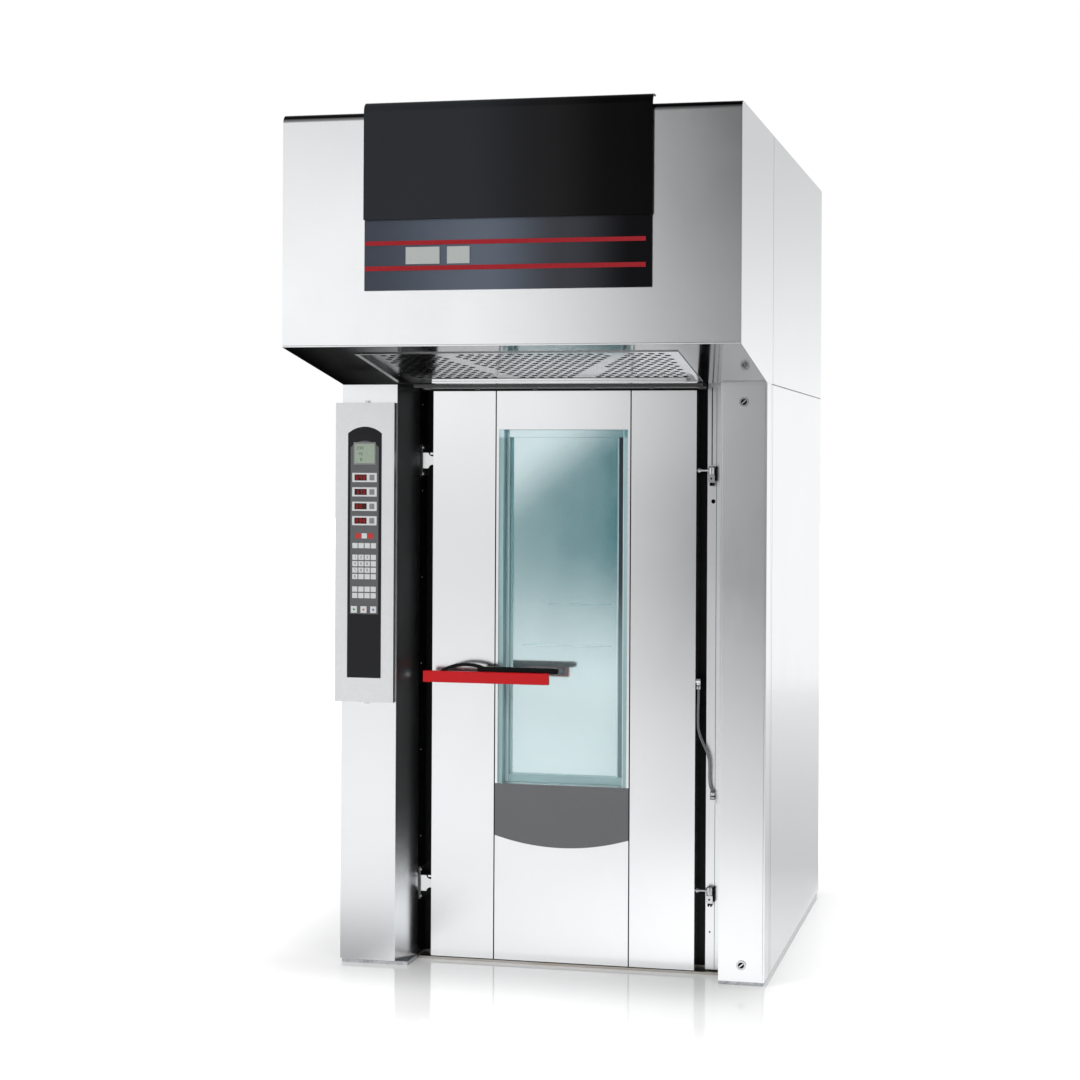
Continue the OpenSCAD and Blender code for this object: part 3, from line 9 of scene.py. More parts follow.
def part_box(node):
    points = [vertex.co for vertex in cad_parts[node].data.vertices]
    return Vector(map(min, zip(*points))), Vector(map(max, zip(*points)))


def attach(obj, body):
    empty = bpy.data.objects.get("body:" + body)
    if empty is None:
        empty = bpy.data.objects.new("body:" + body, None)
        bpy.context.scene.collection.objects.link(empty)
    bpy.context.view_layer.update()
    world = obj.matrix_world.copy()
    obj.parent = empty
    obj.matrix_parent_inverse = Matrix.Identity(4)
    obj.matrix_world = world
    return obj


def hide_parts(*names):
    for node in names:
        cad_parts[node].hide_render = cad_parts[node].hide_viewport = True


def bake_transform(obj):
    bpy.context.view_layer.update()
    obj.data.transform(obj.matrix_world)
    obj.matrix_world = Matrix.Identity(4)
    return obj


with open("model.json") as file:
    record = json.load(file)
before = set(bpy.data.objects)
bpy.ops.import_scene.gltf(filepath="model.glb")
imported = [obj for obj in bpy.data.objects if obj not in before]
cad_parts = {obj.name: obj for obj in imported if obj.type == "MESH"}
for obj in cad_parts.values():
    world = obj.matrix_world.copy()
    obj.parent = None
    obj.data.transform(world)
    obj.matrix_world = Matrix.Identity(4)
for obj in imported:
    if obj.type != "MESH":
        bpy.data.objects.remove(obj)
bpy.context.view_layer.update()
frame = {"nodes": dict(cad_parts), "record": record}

# Sizes and places are in millimetres off the oven's middle, off the fronts of its columns and off
# the floor. at() turns them into the frame's metres. -Y is the front, with the door and the hood.
MM = 0.001
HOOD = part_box("hood_casing")
ORIGIN = ((HOOD[0][0] + HOOD[1][0]) / 2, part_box("left_column")[0][1], 0.0)


def at(x, y, z):
    """A point in the frame's metres."""
    return Vector((ORIGIN[0] + x * MM, ORIGIN[1] + y * MM, ORIGIN[2] + z * MM))


def spans(node):
    """How far a solid reaches along X, Y and Z, in the millimetres that at() takes."""
    low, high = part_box(node)
    return [tuple(round((end[i] - ORIGIN[i]) / MM, 3) for end in (low, high)) for i in range(3)]


def middle(span):
    """The middle of a span."""
    return (span[0] + span[1]) / 2


# ---- camera ----

CAMERA_PLACE = Vector((1.6097, -7.3825, 1.6236))
CAMERA_YAW = 0.2333
CAMERA_ROLL = 0.0051
CAMERA_LENS = 73.3
CAMERA_RISE = -0.066


def make_camera():
    """A level camera, turned by its yaw and roll, with its picture shifted down a little."""
    data = bpy.data.cameras.new("camera")
    data.lens = CAMERA_LENS
    data.sensor_width = 36.0
    data.shift_y = CAMERA_RISE
    data.clip_end = 100.0
    camera = bpy.data.objects.new("camera", data)
    ahead = Vector((-math.sin(CAMERA_YAW), math.cos(CAMERA_YAW), 0.0))
    level = Vector((math.cos(CAMERA_YAW), math.sin(CAMERA_YAW), 0.0))
    upward = Vector((0.0, 0.0, 1.0))
    right = math.cos(CAMERA_ROLL) * level + math.sin(CAMERA_ROLL) * upward
    top = math.cos(CAMERA_ROLL) * upward - math.sin(CAMERA_ROLL) * level
    turn = Matrix((right, top, -ahead)).transposed()
    camera.matrix_world = Matrix.Translation(CAMERA_PLACE) @ turn.to_4x4()
    bpy.context.scene.collection.objects.link(camera)
    bpy.context.scene.camera = camera


make_camera()


# ---- mesh making ----

ROUND_STEPS = 40
ROUND_ANGLE = 40.0


def linked(name, data):
    """A new object of a mesh or a curve, in the scene."""
    piece = bpy.data.objects.new(name, data)
    bpy.context.scene.collection.objects.link(piece)
    return piece


def to_piece(name, bm, smooth_angle=35.0):
    """Turns a bmesh into a linked object with smooth faces and sharp corners."""
    bmesh.ops.recalc_face_normals(bm, faces=bm.faces)
    mesh = bpy.data.meshes.new(name)
    bm.to_mesh(mesh)
    bm.free()
    piece = linked(name, mesh)
    for face in mesh.polygons:
        face.use_smooth = True
    mark = bmesh.new()
    mark.from_mesh(mesh)
    for edge in mark.edges:
        if len(edge.link_faces) != 2 or edge.calc_face_angle(0.0) > math.radians(smooth_angle):
            edge.smooth = False
    mark.to_mesh(mesh)
    mark.free()
    return piece


def even_shading(piece):
    """Leans the corner normals towards the large flat faces, so flat sheets shade flat."""
    lean = piece.modifiers.new("even", "WEIGHTED_NORMAL")
    lean.mode = "FACE_AREA_WITH_ANGLE"
    lean.weight = 100
    lean.keep_sharp = True
    bpy.context.view_layer.update()
    shaded = bpy.data.meshes.new_from_object(
        piece.evaluated_get(bpy.context.evaluated_depsgraph_get()))
    piece.modifiers.clear()
    old = piece.data
    piece.data = shaded
    bpy.data.meshes.remove(old)


def soften(bm, edge, steps=2, limit=30.0):
    """Rounds every corner of a bmesh that is sharper than limit, by edge in millimetres."""
    corners = [e for e in bm.edges if len(e.link_faces) == 2
               and e.calc_face_angle(0.0) > math.radians(limit)]
    if corners:
        bmesh.ops.bevel(bm, geom=corners, offset=edge * MM, segments=steps, profile=0.5,
                        affect="EDGES", clamp_overlap=True)


def block_mesh(x, y, z):
    """A plain block from its spans."""
    low, high = at(x[0], y[0], z[0]), at(x[1], y[1], z[1])
    bm = bmesh.new()
    bmesh.ops.create_cube(bm, size=1.0)
    for v in bm.verts:
        v.co = Vector([low[i] + (v.co[i] + 0.5) * (high[i] - low[i]) for i in range(3)])
    return bm


def slab(name, x, y, z, edge=0.5):
    """A block with softened edges."""
    bm = block_mesh(x, y, z)
    soften(bm, edge)
    return to_piece(name, bm)


def thin_plate(name, outline, front, back, edge):
    """A thin upright plate with softened edges, from an outline of (x, z) points."""
    curve = bpy.data.curves.new(name + "_outline", "CURVE")
    curve.dimensions = "2D"
    curve.fill_mode = "BOTH"
    curve.extrude = ((back - front) / 2 - edge) * MM
    curve.bevel_depth = edge * MM
    curve.bevel_resolution = 1
    curve.offset = -edge * MM
    line = curve.splines.new("POLY")
    line.points.add(len(outline) - 1)
    for point, (x, z) in zip(line.points, outline):
        place = at(x, 0, z)
        point.co = (place.x, place.z, 0.0, 1.0)
    line.use_cyclic_u = True
    holder = linked(name + "_outline", curve)
    bpy.context.view_layer.update()
    mesh = bpy.data.meshes.new_from_object(holder)
    bpy.data.objects.remove(holder)
    bm = bmesh.new()
    bm.from_mesh(mesh)
    bpy.data.meshes.remove(mesh)
    depth = at(0, middle((front, back)), 0).y
    for v in bm.verts:
        x, z, off = v.co
        v.co = (x, depth + off, z)
    bmesh.ops.remove_doubles(bm, verts=bm.verts, dist=1e-6)
    return to_piece(name, bm)


def strips_piece(name, strips, front, back):
    """Flat strips standing in one plane, each given as (x0, x1, z0, z1)."""
    bm = bmesh.new()
    for x0, x1, z0, z1 in strips:
        corners = [bm.verts.new(at(x, y, z)) for y in (front, back) for x, z in
                   ((x0, z0), (x1, z0), (x1, z1), (x0, z1))]
        bm.faces.new(corners[:4])
        bm.faces.new(corners[:3:-1])
        for k in range(4):
            m = (k + 1) % 4
            bm.faces.new((corners[k], corners[m], corners[m + 4], corners[k + 4]))
    return to_piece(name, bm)


def bridged(bm, a, b):
    """The faces between two rings of points."""
    for k in range(len(a)):
        m = (k + 1) % len(a)
        bm.faces.new((a[k], a[m], b[m], b[k]))


def turned(name, profile, place, axis="Z"):
    """A turned piece from (radius, height) points about an axis through place."""
    bm = bmesh.new()
    rings = []
    for radius, height in profile:
        if radius == 0.0:
            rings.append([bm.verts.new((0, 0, height * MM))])
            continue
        rings.append([bm.verts.new((radius * MM * math.cos(a), radius * MM * math.sin(a), height * MM))
                      for a in (2 * math.pi * k / ROUND_STEPS for k in range(ROUND_STEPS))])
    for a, b in zip(rings, rings[1:]):
        if len(a) == len(b):
            bridged(bm, a, b)
            continue
        tip, ring = (a, b) if len(a) == 1 else (b, a)
        for k in range(ROUND_STEPS):
            bm.faces.new((tip[0], ring[k], ring[(k + 1) % ROUND_STEPS]))
    for ring in (rings[0], rings[-1]):
        if len(ring) > 1:
            bm.faces.new(ring)
    turn = {"Z": Matrix.Identity(4), "X": Matrix.Rotation(math.pi / 2, 4, "Y"),
            "-Y": Matrix.Rotation(math.pi / 2, 4, "X")}[axis]
    bm.transform(Matrix.Translation(place) @ turn)
    return to_piece(name, bm, ROUND_ANGLE)


def peg(radius, length):
    """The profile of a plain round peg."""
    return [(0.0, 0.0), (radius, 0.0), (radius, length), (0.0, length)]


def paint(piece, material):
    """Gives a piece its material."""
    piece.data.materials.clear()
    piece.data.materials.append(material)
    return piece


def joined(name, pieces):
    """One object from several, each keeping its material."""
    body = bmesh.new()
    kept = []
    for piece in pieces:
        material = piece.data.materials[0]
        if material not in kept:
            kept.append(material)
        part = bmesh.new()
        part.from_mesh(piece.data)
        for face in part.faces:
            face.material_index = kept.index(material)
        spare = bpy.data.meshes.new("spare")
        part.to_mesh(spare)
        part.free()
        body.from_mesh(spare)
        bpy.data.meshes.remove(spare)
    mesh = bpy.data.meshes.new(name)
    body.to_mesh(mesh)
    body.free()
    for material in kept:
        mesh.materials.append(material)
    for piece in pieces:
        bpy.data.objects.remove(piece)
    return linked(name, mesh)


def settle(piece, body, slot, *nodes):
    """A finished piece rides on a body and stands for the solids it replaces."""
    even_shading(piece)
    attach(piece, body)
    if nodes:
        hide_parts(*nodes)


# ---- shader making ----

MIX_SHARE, MIX_LOW, MIX_HIGH, MIX_OUT = 0, 6, 7, 2


def add(tree, kind, **values):
    """Adds a shader node. Each value goes to the socket or else the setting of that name."""
    made = tree.nodes.new("ShaderNode" + kind)
    for key, value in values.items():
        label = key.replace("_", " ")
        if label in made.inputs:
            made.inputs[label].default_value = value
        else:
            setattr(made, key, value)
    return made


def feed(tree, target, socket, value):
    """Gives a socket what it takes: a (node, output) pair, a colour of three shares or a number."""
    if isinstance(value, tuple) and isinstance(value[0], bpy.types.Node):
        tree.links.new(value[0].outputs[value[1]], target.inputs[socket])
    elif isinstance(value, tuple):
        target.inputs[socket].default_value = (*value, 1.0)
    else:
        target.inputs[socket].default_value = value


def feed_all(tree, target, **values):
    """Feeds several sockets by their names."""
    for key, value in values.items():
        feed(tree, target, key.replace("_", " "), value)


def figured(tree, operation, *values):
    """A sum, product or the like of numbers and outputs, as an output."""
    made = add(tree, "Math", operation=operation)
    for i, value in enumerate(values):
        feed(tree, made, i, value)
    return made, "Value"


def blended(tree, share, low, high, blend="MIX"):
    """A colour that runs from low to high with a share, as an output."""
    made = add(tree, "Mix", data_type="RGBA", blend_type=blend)
    for socket, value in ((MIX_SHARE, share), (MIX_LOW, low), (MIX_HIGH, high)):
        feed(tree, made, socket, value)
    return made, MIX_OUT


def ranged(tree, value, low, high, start=0.0, stop=1.0, ease="LINEAR"):
    """A value that runs from low to high as another runs from start to stop, as an output."""
    made = add(tree, "MapRange", From_Min=start, From_Max=stop, To_Min=low, To_Max=high,
               interpolation_type=ease)
    feed(tree, made, "Value", value)
    return made, "Result"


def place_on(tree):
    """The place of each point of a surface, as an output."""
    return add(tree, "TexCoord"), "Object"


def parts_of(tree, vector):
    """The node that splits a vector into X, Y and Z."""
    made = add(tree, "SeparateXYZ")
    feed(tree, made, "Vector", vector)
    return made


def noise(tree, vector, **values):
    """Noise over a vector, as an output."""
    made = add(tree, "TexNoise", **values)
    feed(tree, made, "Vector", vector)
    return made, "Fac"


def bumped(tree, bsdf, height, depth):
    """Drives the BSDF's normal with a height, depth in metres."""
    bump = add(tree, "Bump", Strength=1.0, Distance=depth)
    feed(tree, bump, "Height", height)
    feed(tree, bsdf, "Normal", (bump, "Normal"))


def group(name, inputs, outputs):
    """An empty shader node group with its sockets."""
    made = bpy.data.node_groups.new(name, "ShaderNodeTree")
    for label, kind, value in inputs:
        socket = made.interface.new_socket(name=label, in_out="INPUT", socket_type="NodeSocket" + kind)
        socket.default_value = value
    for label in outputs:
        made.interface.new_socket(name=label, in_out="OUTPUT", socket_type="NodeSocketFloat")
    return made, made.nodes.new("NodeGroupInput"), made.nodes.new("NodeGroupOutput")


def placed(tree, source, **values):
    """Puts a node group into a material, with its own values."""
    made = tree.nodes.new("ShaderNodeGroup")
    made.node_tree = source
    for key, value in values.items():
        made.inputs[key].default_value = value
    return made


def make_brushed_grain():
    """Fine grinding lines along the short axis of Stretch, with slow bands across them."""
    g, given, out = group("brushed grain",
                          [("Stretch", "Vector", (1.0, 1.0, 1.0)), ("Fineness", "Float", 900.0)],
                          ["Lines", "Bands"])
    longer = add(g, "VectorMath", operation="MULTIPLY")
    feed(g, longer, 0, place_on(g))
    feed(g, longer, 1, (given, "Stretch"))
    lines = noise(g, (longer, "Vector"), Detail=3.0, Roughness=0.6)
    feed(g, lines[0], "Scale", (given, "Fineness"))
    bands = noise(g, place_on(g), Scale=3.0, Detail=2.0, Roughness=0.5)
    feed_all(g, out, Lines=lines, Bands=bands)
    return g


def make_handling():
    """Smudges and faint wiped streaks where cloths and hands have been."""
    g, given, out = group("handling marks", [("Size", "Float", 4.0), ("Amount", "Float", 0.5)],
                          ["Marks"])
    slant = add(g, "Mapping", Rotation=(0.0, 0.5, 0.3), Scale=(1.0, 1.0, 0.45))
    feed(g, slant, "Vector", place_on(g))
    cloud = noise(g, (slant, "Vector"), Detail=6.0, Roughness=0.62, Distortion=0.6)
    feed(g, cloud[0], "Scale", (given, "Size"))
    pick = ranged(g, cloud, 0.0, 1.0, 0.48, 0.74)
    feed(g, out, "Marks", figured(g, "MULTIPLY", pick, (given, "Amount")))
    return g


def make_edge_wear():
    """A mask of the outer edges, broken up by noise."""
    g, given, out = group("edge wear", [("Amount", "Float", 0.5), ("Grit", "Float", 90.0)], ["Mask"])
    crest = ranged(g, (add(g, "NewGeometry"), "Pointiness"), 0.0, 1.0, 0.52, 0.62)
    grit = noise(g, place_on(g), Detail=4.0)
    feed(g, grit[0], "Scale", (given, "Grit"))
    both = figured(g, "MULTIPLY", crest, ranged(g, grit, 0.0, 1.0, 0.35, 0.7))
    feed(g, out, "Mask", figured(g, "MULTIPLY", both, (given, "Amount")))
    return g


def make_settled_dust():
    """A mask of the faces that look up, where dust settles in patches."""
    g, given, out = group("settled dust", [("Amount", "Float", 0.3)], ["Mask"])
    facing = parts_of(g, (add(g, "NewGeometry"), "Normal"))
    upward = ranged(g, (facing, "Z"), 0.0, 1.0, 0.5, 1.0)
    patch = noise(g, place_on(g), Scale=7.0, Detail=8.0, Roughness=0.7)
    both = figured(g, "MULTIPLY", upward, ranged(g, patch, 0.0, 1.0, 0.3, 0.75))
    feed(g, out, "Mask", figured(g, "MULTIPLY", both, (given, "Amount")))
    return g


BRUSHED = make_brushed_grain()
HANDLING = make_handling()
EDGE_WEAR = make_edge_wear()
DUST = make_settled_dust()


# ---- finishes ----

COOL = (0.985, 1.0, 1.015)
WARM = (1.03, 1.0, 0.95)
UPRIGHT = (1.0, 1.0, 0.02)
SIDEWAYS = (0.02, 1.0, 1.0)
EVEN = (1.0, 1.0, 1.0)
WHITE = (1.0, 1.0, 1.0)
# SHADOW is a painted dark: painted shade in the leaf's grooves and a painted dark reflection on the
# hood's faces that look up.
SHADOW = (0.012, 0.012, 0.013)
DUST_GREY = (0.42, 0.40, 0.37)


def new_material(name, preview):
    """A material with a Principled BSDF; returns it, its tree and the BSDF."""
    material = bpy.data.materials.new(name)
    material.use_nodes = True
    material.diffuse_color = (*preview, 1.0)
    tree = material.node_tree
    return material, tree, tree.nodes["Principled BSDF"]


def tone(level, tint):
    """A linear colour from a grey level and a tint."""
    return tuple(level * t for t in tint)


def scaled(colour, share, lift=0.0):
    """A colour made lighter or darker, no lighter than white."""
    return tuple(min(1.0, c * share + lift) for c in colour)


def metal(name, level, rough, stretch, tint=COOL, fineness=900.0, contrast=0.05, depth=0.00002,
          marks=0.4, dust=0.0, wear=0.3):
    """Ground or rolled metal: grain along one axis, slow bands, wiped marks and bright edges."""
    material, tree, bsdf = new_material(name, tone(level, tint))
    grain = placed(tree, BRUSHED, Stretch=stretch, Fineness=fineness)
    marked = placed(tree, HANDLING, Amount=marks)
    edges = placed(tree, EDGE_WEAR, Amount=wear)
    both = figured(tree, "ADD", (grain, "Lines"), (grain, "Bands"))
    half = figured(tree, "MULTIPLY", both, 0.5)
    shade = blended(tree, half, tone(level * (1 - contrast), tint),
                    tone(min(1.0, level * (1 + contrast)), tint))
    shade = blended(tree, (edges, "Mask"), shade, tone(min(0.97, level * 1.12), tint))
    if dust:
        settled = placed(tree, DUST, Amount=dust)
        shade = blended(tree, (settled, "Mask"), shade, DUST_GREY)
    dull = ranged(tree, half, rough - 0.03, rough + 0.03, 0.3, 0.7)
    smeared = figured(tree, "MULTIPLY_ADD", (marked, "Marks"), 0.12, dull)
    feed_all(tree, bsdf, Base_Color=shade, Roughness=smeared, Metallic=1.0)
    bumped(tree, bsdf, (grain, "Lines"), depth)
    return material


def moulded(name, colour, rough, grit=700.0, depth=0.00003, marks=0.3, shine=0.5, coat=0.0,
            wear=0.25, varied=0.06, worn_to=None):
    """Moulded plastic, enamel or rubber with a fine texture, handling marks and rubbed edges."""
    material, tree, bsdf = new_material(name, colour)
    grain = noise(tree, place_on(tree), Scale=grit, Detail=3.0, Roughness=0.6)
    cloud = noise(tree, place_on(tree), Scale=9.0, Detail=4.0)
    marked = placed(tree, HANDLING, Amount=marks, Size=9.0)
    edges = placed(tree, EDGE_WEAR, Amount=wear, Grit=160.0)
    shade = blended(tree, cloud, scaled(colour, 1 - varied), scaled(colour, 1 + varied))
    rubbed = blended(tree, (edges, "Mask"), shade, worn_to or scaled(colour, 1.35, 0.02))
    dull = ranged(tree, grain, rough - 0.04, rough + 0.05, 0.35, 0.65)
    smeared = figured(tree, "MULTIPLY_ADD", (marked, "Marks"), 0.15, dull)
    feed_all(tree, bsdf, Base_Color=rubbed, Roughness=smeared, Specular_IOR_Level=shine,
             Coat_Weight=coat, Coat_Roughness=0.05)
    bumped(tree, bsdf, grain, depth)
    return material


def coated_pane():
    """Coated glass that mostly mirrors: a cool tint with faint wiped streaks."""
    tint = (0.5, 0.7, 0.74)
    material, tree, bsdf = new_material("coated pane", tint)
    marks = placed(tree, HANDLING, Amount=0.5, Size=3.0), "Marks"
    feed_all(tree, bsdf, Base_Color=blended(tree, marks, tint, scaled(tint, 1.12)),
             Roughness=ranged(tree, marks, 0.1, 0.22), Metallic=0.85)
    return material


def clear_pane():
    """The leaf's outer pane: clear glass with a faint film."""
    material, tree, bsdf = new_material("clear pane", (0.8, 0.9, 0.9))
    marks = placed(tree, HANDLING, Amount=0.6, Size=3.0), "Marks"
    feed_all(tree, bsdf, Base_Color=blended(tree, marks, (0.93, 0.985, 0.98), (0.9, 0.96, 0.955)),
             Roughness=ranged(tree, marks, 0.01, 0.09), Transmission_Weight=1.0, IOR=1.12)
    return material


def fibre(name, colour):
    """Pressed mineral wool: matt, matted fibres in two scales."""
    material, tree, bsdf = new_material(name, colour)
    lay = add(tree, "Mapping", Scale=(1.0, 1.0, 3.5))
    feed(tree, lay, "Vector", place_on(tree))
    hair = noise(tree, (lay, "Vector"), Scale=260.0, Detail=6.0, Roughness=0.7, Distortion=1.5)
    clump = noise(tree, place_on(tree), Scale=22.0, Detail=4.0)
    feed_all(tree, bsdf, Base_Color=blended(tree, hair, scaled(colour, 0.6), scaled(colour, 1.25)),
             Roughness=ranged(tree, clump, 0.85, 1.0), Sheen_Weight=0.3)
    bumped(tree, bsdf, hair, 0.002)
    return material


def spangled_zinc():
    """Galvanised sheet: crystal patches of slightly different tone."""
    material, tree, bsdf = new_material("galvanised steel", (0.5, 0.52, 0.54))
    crystal = add(tree, "TexVoronoi", Scale=70.0, Randomness=1.0)
    shine = add(tree, "SeparateColor")
    feed(tree, crystal, "Vector", place_on(tree))
    feed(tree, shine, "Color", (crystal, "Color"))
    edges = placed(tree, EDGE_WEAR, Amount=0.4)
    shade = blended(tree, (shine, "Red"), (0.44, 0.46, 0.48), (0.62, 0.64, 0.66))
    worn = blended(tree, (edges, "Mask"), shade, (0.75, 0.76, 0.77))
    feed_all(tree, bsdf, Base_Color=worn, Roughness=ranged(tree, (shine, "Green"), 0.32, 0.5),
             Metallic=0.9)
    bumped(tree, bsdf, (crystal, "Distance"), 0.00002)
    return material


def greys(*stops):
    """Stops of a grey scale, from (share, level) pairs."""
    return [(share, (level, level, level)) for share, level in stops]


def scale_of(tree, value, stops, ease="LINEAR"):
    """A colour scale over a value from 0 to 1, through (share, colour) stops, as an output."""
    ramp = add(tree, "ValToRGB")
    ramp.color_ramp.interpolation = ease
    points = ramp.color_ramp.elements
    while len(points) < len(stops):
        points.new(0.5)
    for point, (share, colour) in zip(points, stops):
        point.position = share
        point.color = (*colour, 1.0)
    feed(tree, ramp, "Fac", value)
    return ramp, "Color"


def along(tree, axis, start, stop, stops):
    """A colour that runs along an axis of the oven between two places, as an output."""
    place = parts_of(tree, place_on(tree))
    share = ranged(tree, (place, axis), 0.0, 1.0, start, stop)
    return scale_of(tree, share, stops, "EASE")


def over_width(tree, half_width, stops):
    """A colour that runs across the oven, as far on each side of its middle, as an output."""
    return along(tree, "X", at(-half_width, 0, 0).x, at(half_width, 0, 0).x, stops)


def tree_of(material):
    """A material's tree, its BSDF and the blend that colours it, as an output."""
    tree = material.node_tree
    bsdf = tree.nodes["Principled BSDF"]
    return tree, bsdf, (bsdf.inputs["Base Color"].links[0].from_node, MIX_OUT)


def shaded_by(material, make_scale, share=1.0):
    """Multiplies a material's colour by the scale that make_scale puts into its tree."""
    tree, bsdf, colour = tree_of(material)
    feed(tree, bsdf, "Base Color", blended(tree, share, colour, make_scale(tree), "MULTIPLY"))
    return material


def baked_steel():
    """Chamber steel with straw and blue heat tints in slow clouds."""
    material = metal("chamber steel", 0.55, 0.34, UPRIGHT, WARM, contrast=0.1, marks=0.8, wear=0.1)
    tree, bsdf, colour = tree_of(material)
    cloud = noise(tree, place_on(tree), Scale=2.6, Detail=5.0, Roughness=0.6, Distortion=0.4)
    stain = ranged(tree, cloud, 0.0, 0.6, 0.42, 0.72)
    feed(tree, bsdf, "Base Color", blended(tree, stain, colour, (0.36, 0.25, 0.13)))
    return material


def shaded_sheet(name, stops, rough, level, grit=60.0):
    """Dark plastic sheet whose tone runs across the hood's front as a painted reflection."""
    material, tree, bsdf = new_material(name, stops[0][1])
    marks = placed(tree, HANDLING, Amount=0.12, Size=6.0), "Marks"
    faint = figured(tree, "MULTIPLY", marks, 0.12)
    # over_width gives the painted reflection's run across the hood. The handling marks add a real haze.
    hazed = blended(tree, faint, over_width(tree, 440, stops), (0.06, 0.062, 0.066))
    feed_all(tree, bsdf, Base_Color=hazed, Roughness=ranged(tree, marks, rough, rough + 0.1),
             Specular_IOR_Level=level)
    bumped(tree, bsdf, noise(tree, place_on(tree), Scale=grit, Detail=2.0), 0.00001)
    return material


def polished_tray():
    """Mirror-polished sheet with a painted reflection: dark towards the hood's ends and light along its
    lip.
    """
    material = metal("polished tray", 0.8, 0.09, SIDEWAYS, contrast=0.03, depth=0.000003, marks=0.3)
    # The greys across the hood are a painted reflection, and the metal's fade towards the ends darkens
    # them further.
    shaded_by(material, lambda tree: over_width(tree, 700, greys(
        (0.0, 0.004), (0.1, 0.008), (0.22, 0.06), (0.3, 0.3), (0.8, 0.45), (0.9, 0.2), (1.0, 0.28))))
    tree, bsdf, _ = tree_of(material)
    shine = over_width(tree, 700, greys((0.0, 0.0), (0.12, 0.05), (0.24, 0.55), (0.34, 1.0), (1.0, 1.0)))
    feed_all(tree, bsdf, Metallic=shine, Specular_IOR_Level=0.0)
    return material


def filter_finish():
    """The grease filter's sheet, with a painted dark reflection towards the hood's left end."""
    material = metal("grease filter", 0.85, 0.2, SIDEWAYS, contrast=0.08, marks=0.3)
    # The greys are a painted dark reflection, darkest at the left end.
    return shaded_by(material, lambda tree: over_width(tree, 500, greys(
        (0.0, 0.12), (0.25, 0.4), (0.5, 0.6), (1.0, 0.8))))


def post_finish():
    """The hinge post's sheet, shaded by the hood towards its top."""
    material = metal("hinge post", 0.92, 0.3, UPRIGHT, contrast=0.04, depth=0.00001, marks=0.3)
    return shaded_by(material, lambda tree: along(tree, "Z", 0.0, SHADED_TO, greys(
        (0.0, 1.0), (0.5, 1.0), (0.9, 0.92), (1.0, 0.8))))


def panel_metal(name):
    """Ground sheet for the oven's large flat panels."""
    return metal(name, 0.92, 0.22, UPRIGHT, contrast=0.025, depth=0.000008, marks=0.25)


def splayed_finish():
    """The left column's sheet, whose splayed inner face carries painted shade above the door's foot."""
    material = panel_metal("left column")
    tree = material.node_tree
    facing = parts_of(tree, (add(tree, "NewGeometry"), "Normal"))
    inward = ranged(tree, (facing, "X"), 0.0, 1.0, 0.2, 0.5)
    # Painted shade on the faces that turn inward, from a little above the floor up to the hood.
    return shaded_by(material, lambda tree: along(tree, "Z", 0.0, SHADED_TO, greys(
        (0.16, 1.0), (0.3, 0.62), (1.0, 0.58))), inward)


# The panes fill the window, so their solid gives its opening.
WINDOW_X, PANES_Y, WINDOW_Z = spans("door_glass")
# The hood shades what stands under it, from the floor up to this height.
SHADED_TO = at(0, 0, 1900.0).z
# The pane's painted deep tone comes in and goes out between these heights in metres. Its upper end lies
# higher by DEEP_RISE at the pane's right edge than at its left.
DEEP_IN = (0.86, 1.4)
DEEP_OUT = (1.38, 1.66)
DEEP_RISE = 0.32
# Where the side sheets meet the hood and each other: axis, place and half the joint's width.
SIDE_JOINTS = (("Y", at(0, 133.0, 0).y, 3.0 * MM), ("Y", at(0, 99.0, 0).y, 2.0 * MM),
               ("Z", at(0, 0, 1896.6).z, 1.8 * MM))


def seamed_steel():
    """The side sheets, with dark joints where they meet the hood and each other."""
    material = panel_metal("side panel")
    tree, bsdf, colour = tree_of(material)
    place = parts_of(tree, place_on(tree))
    seams = 0.0
    for axis, middle_line, half in SIDE_JOINTS:
        seam = figured(tree, "COMPARE", (place, axis), middle_line, half)
        seams = figured(tree, "MAXIMUM", seams, seam)
    feed(tree, bsdf, "Base Color", blended(tree, seams, colour, (0.05, 0.05, 0.052)))
    return material


def core_finish():
    """The leaf's core: painted shade at its front plane behind the grooves, plain steel elsewhere."""
    material = metal("door core", 0.62, 0.35, UPRIGHT, contrast=0.1)
    tree, bsdf, colour = tree_of(material)
    place = parts_of(tree, place_on(tree))
    behind = ranged(tree, (place, "Y"), 0.0, 1.0, at(0, 119, 0).y, at(0, 121, 0).y)
    # behind picks the front plane, which gets SHADOW as painted shade.
    feed(tree, bsdf, "Base Color", blended(tree, behind, SHADOW, colour))
    return material


def lining_finish():
    """The window's lining: grey-teal at its sides, and pale under its top with painted light, as the
    glass is.
    """
    material = metal("window lining", 0.5, 0.3, UPRIGHT, (0.78, 1.0, 1.04), contrast=0.06)
    tree, bsdf, colour = tree_of(material)
    place = parts_of(tree, place_on(tree))
    head = at(0, 0, WINDOW_Z[1]).z
    high = ranged(tree, (place, "Z"), 0.0, 1.0, head - 30.0 * MM, head - 22.0 * MM)
    # The pale run under the head is painted light, lightest at the left.
    pale = along(tree, "X", at(WINDOW_X[0], 0, 0).x, at(WINDOW_X[1], 0, 0).x,
                 [(0.0, (0.7, 0.82, 0.86)), (0.4, (0.62, 0.76, 0.8)), (0.8, (0.26, 0.4, 0.43)),
                  (1.0, (0.16, 0.3, 0.33))])
    feed(tree, bsdf, "Base Color", blended(tree, high, colour, pale))
    return material


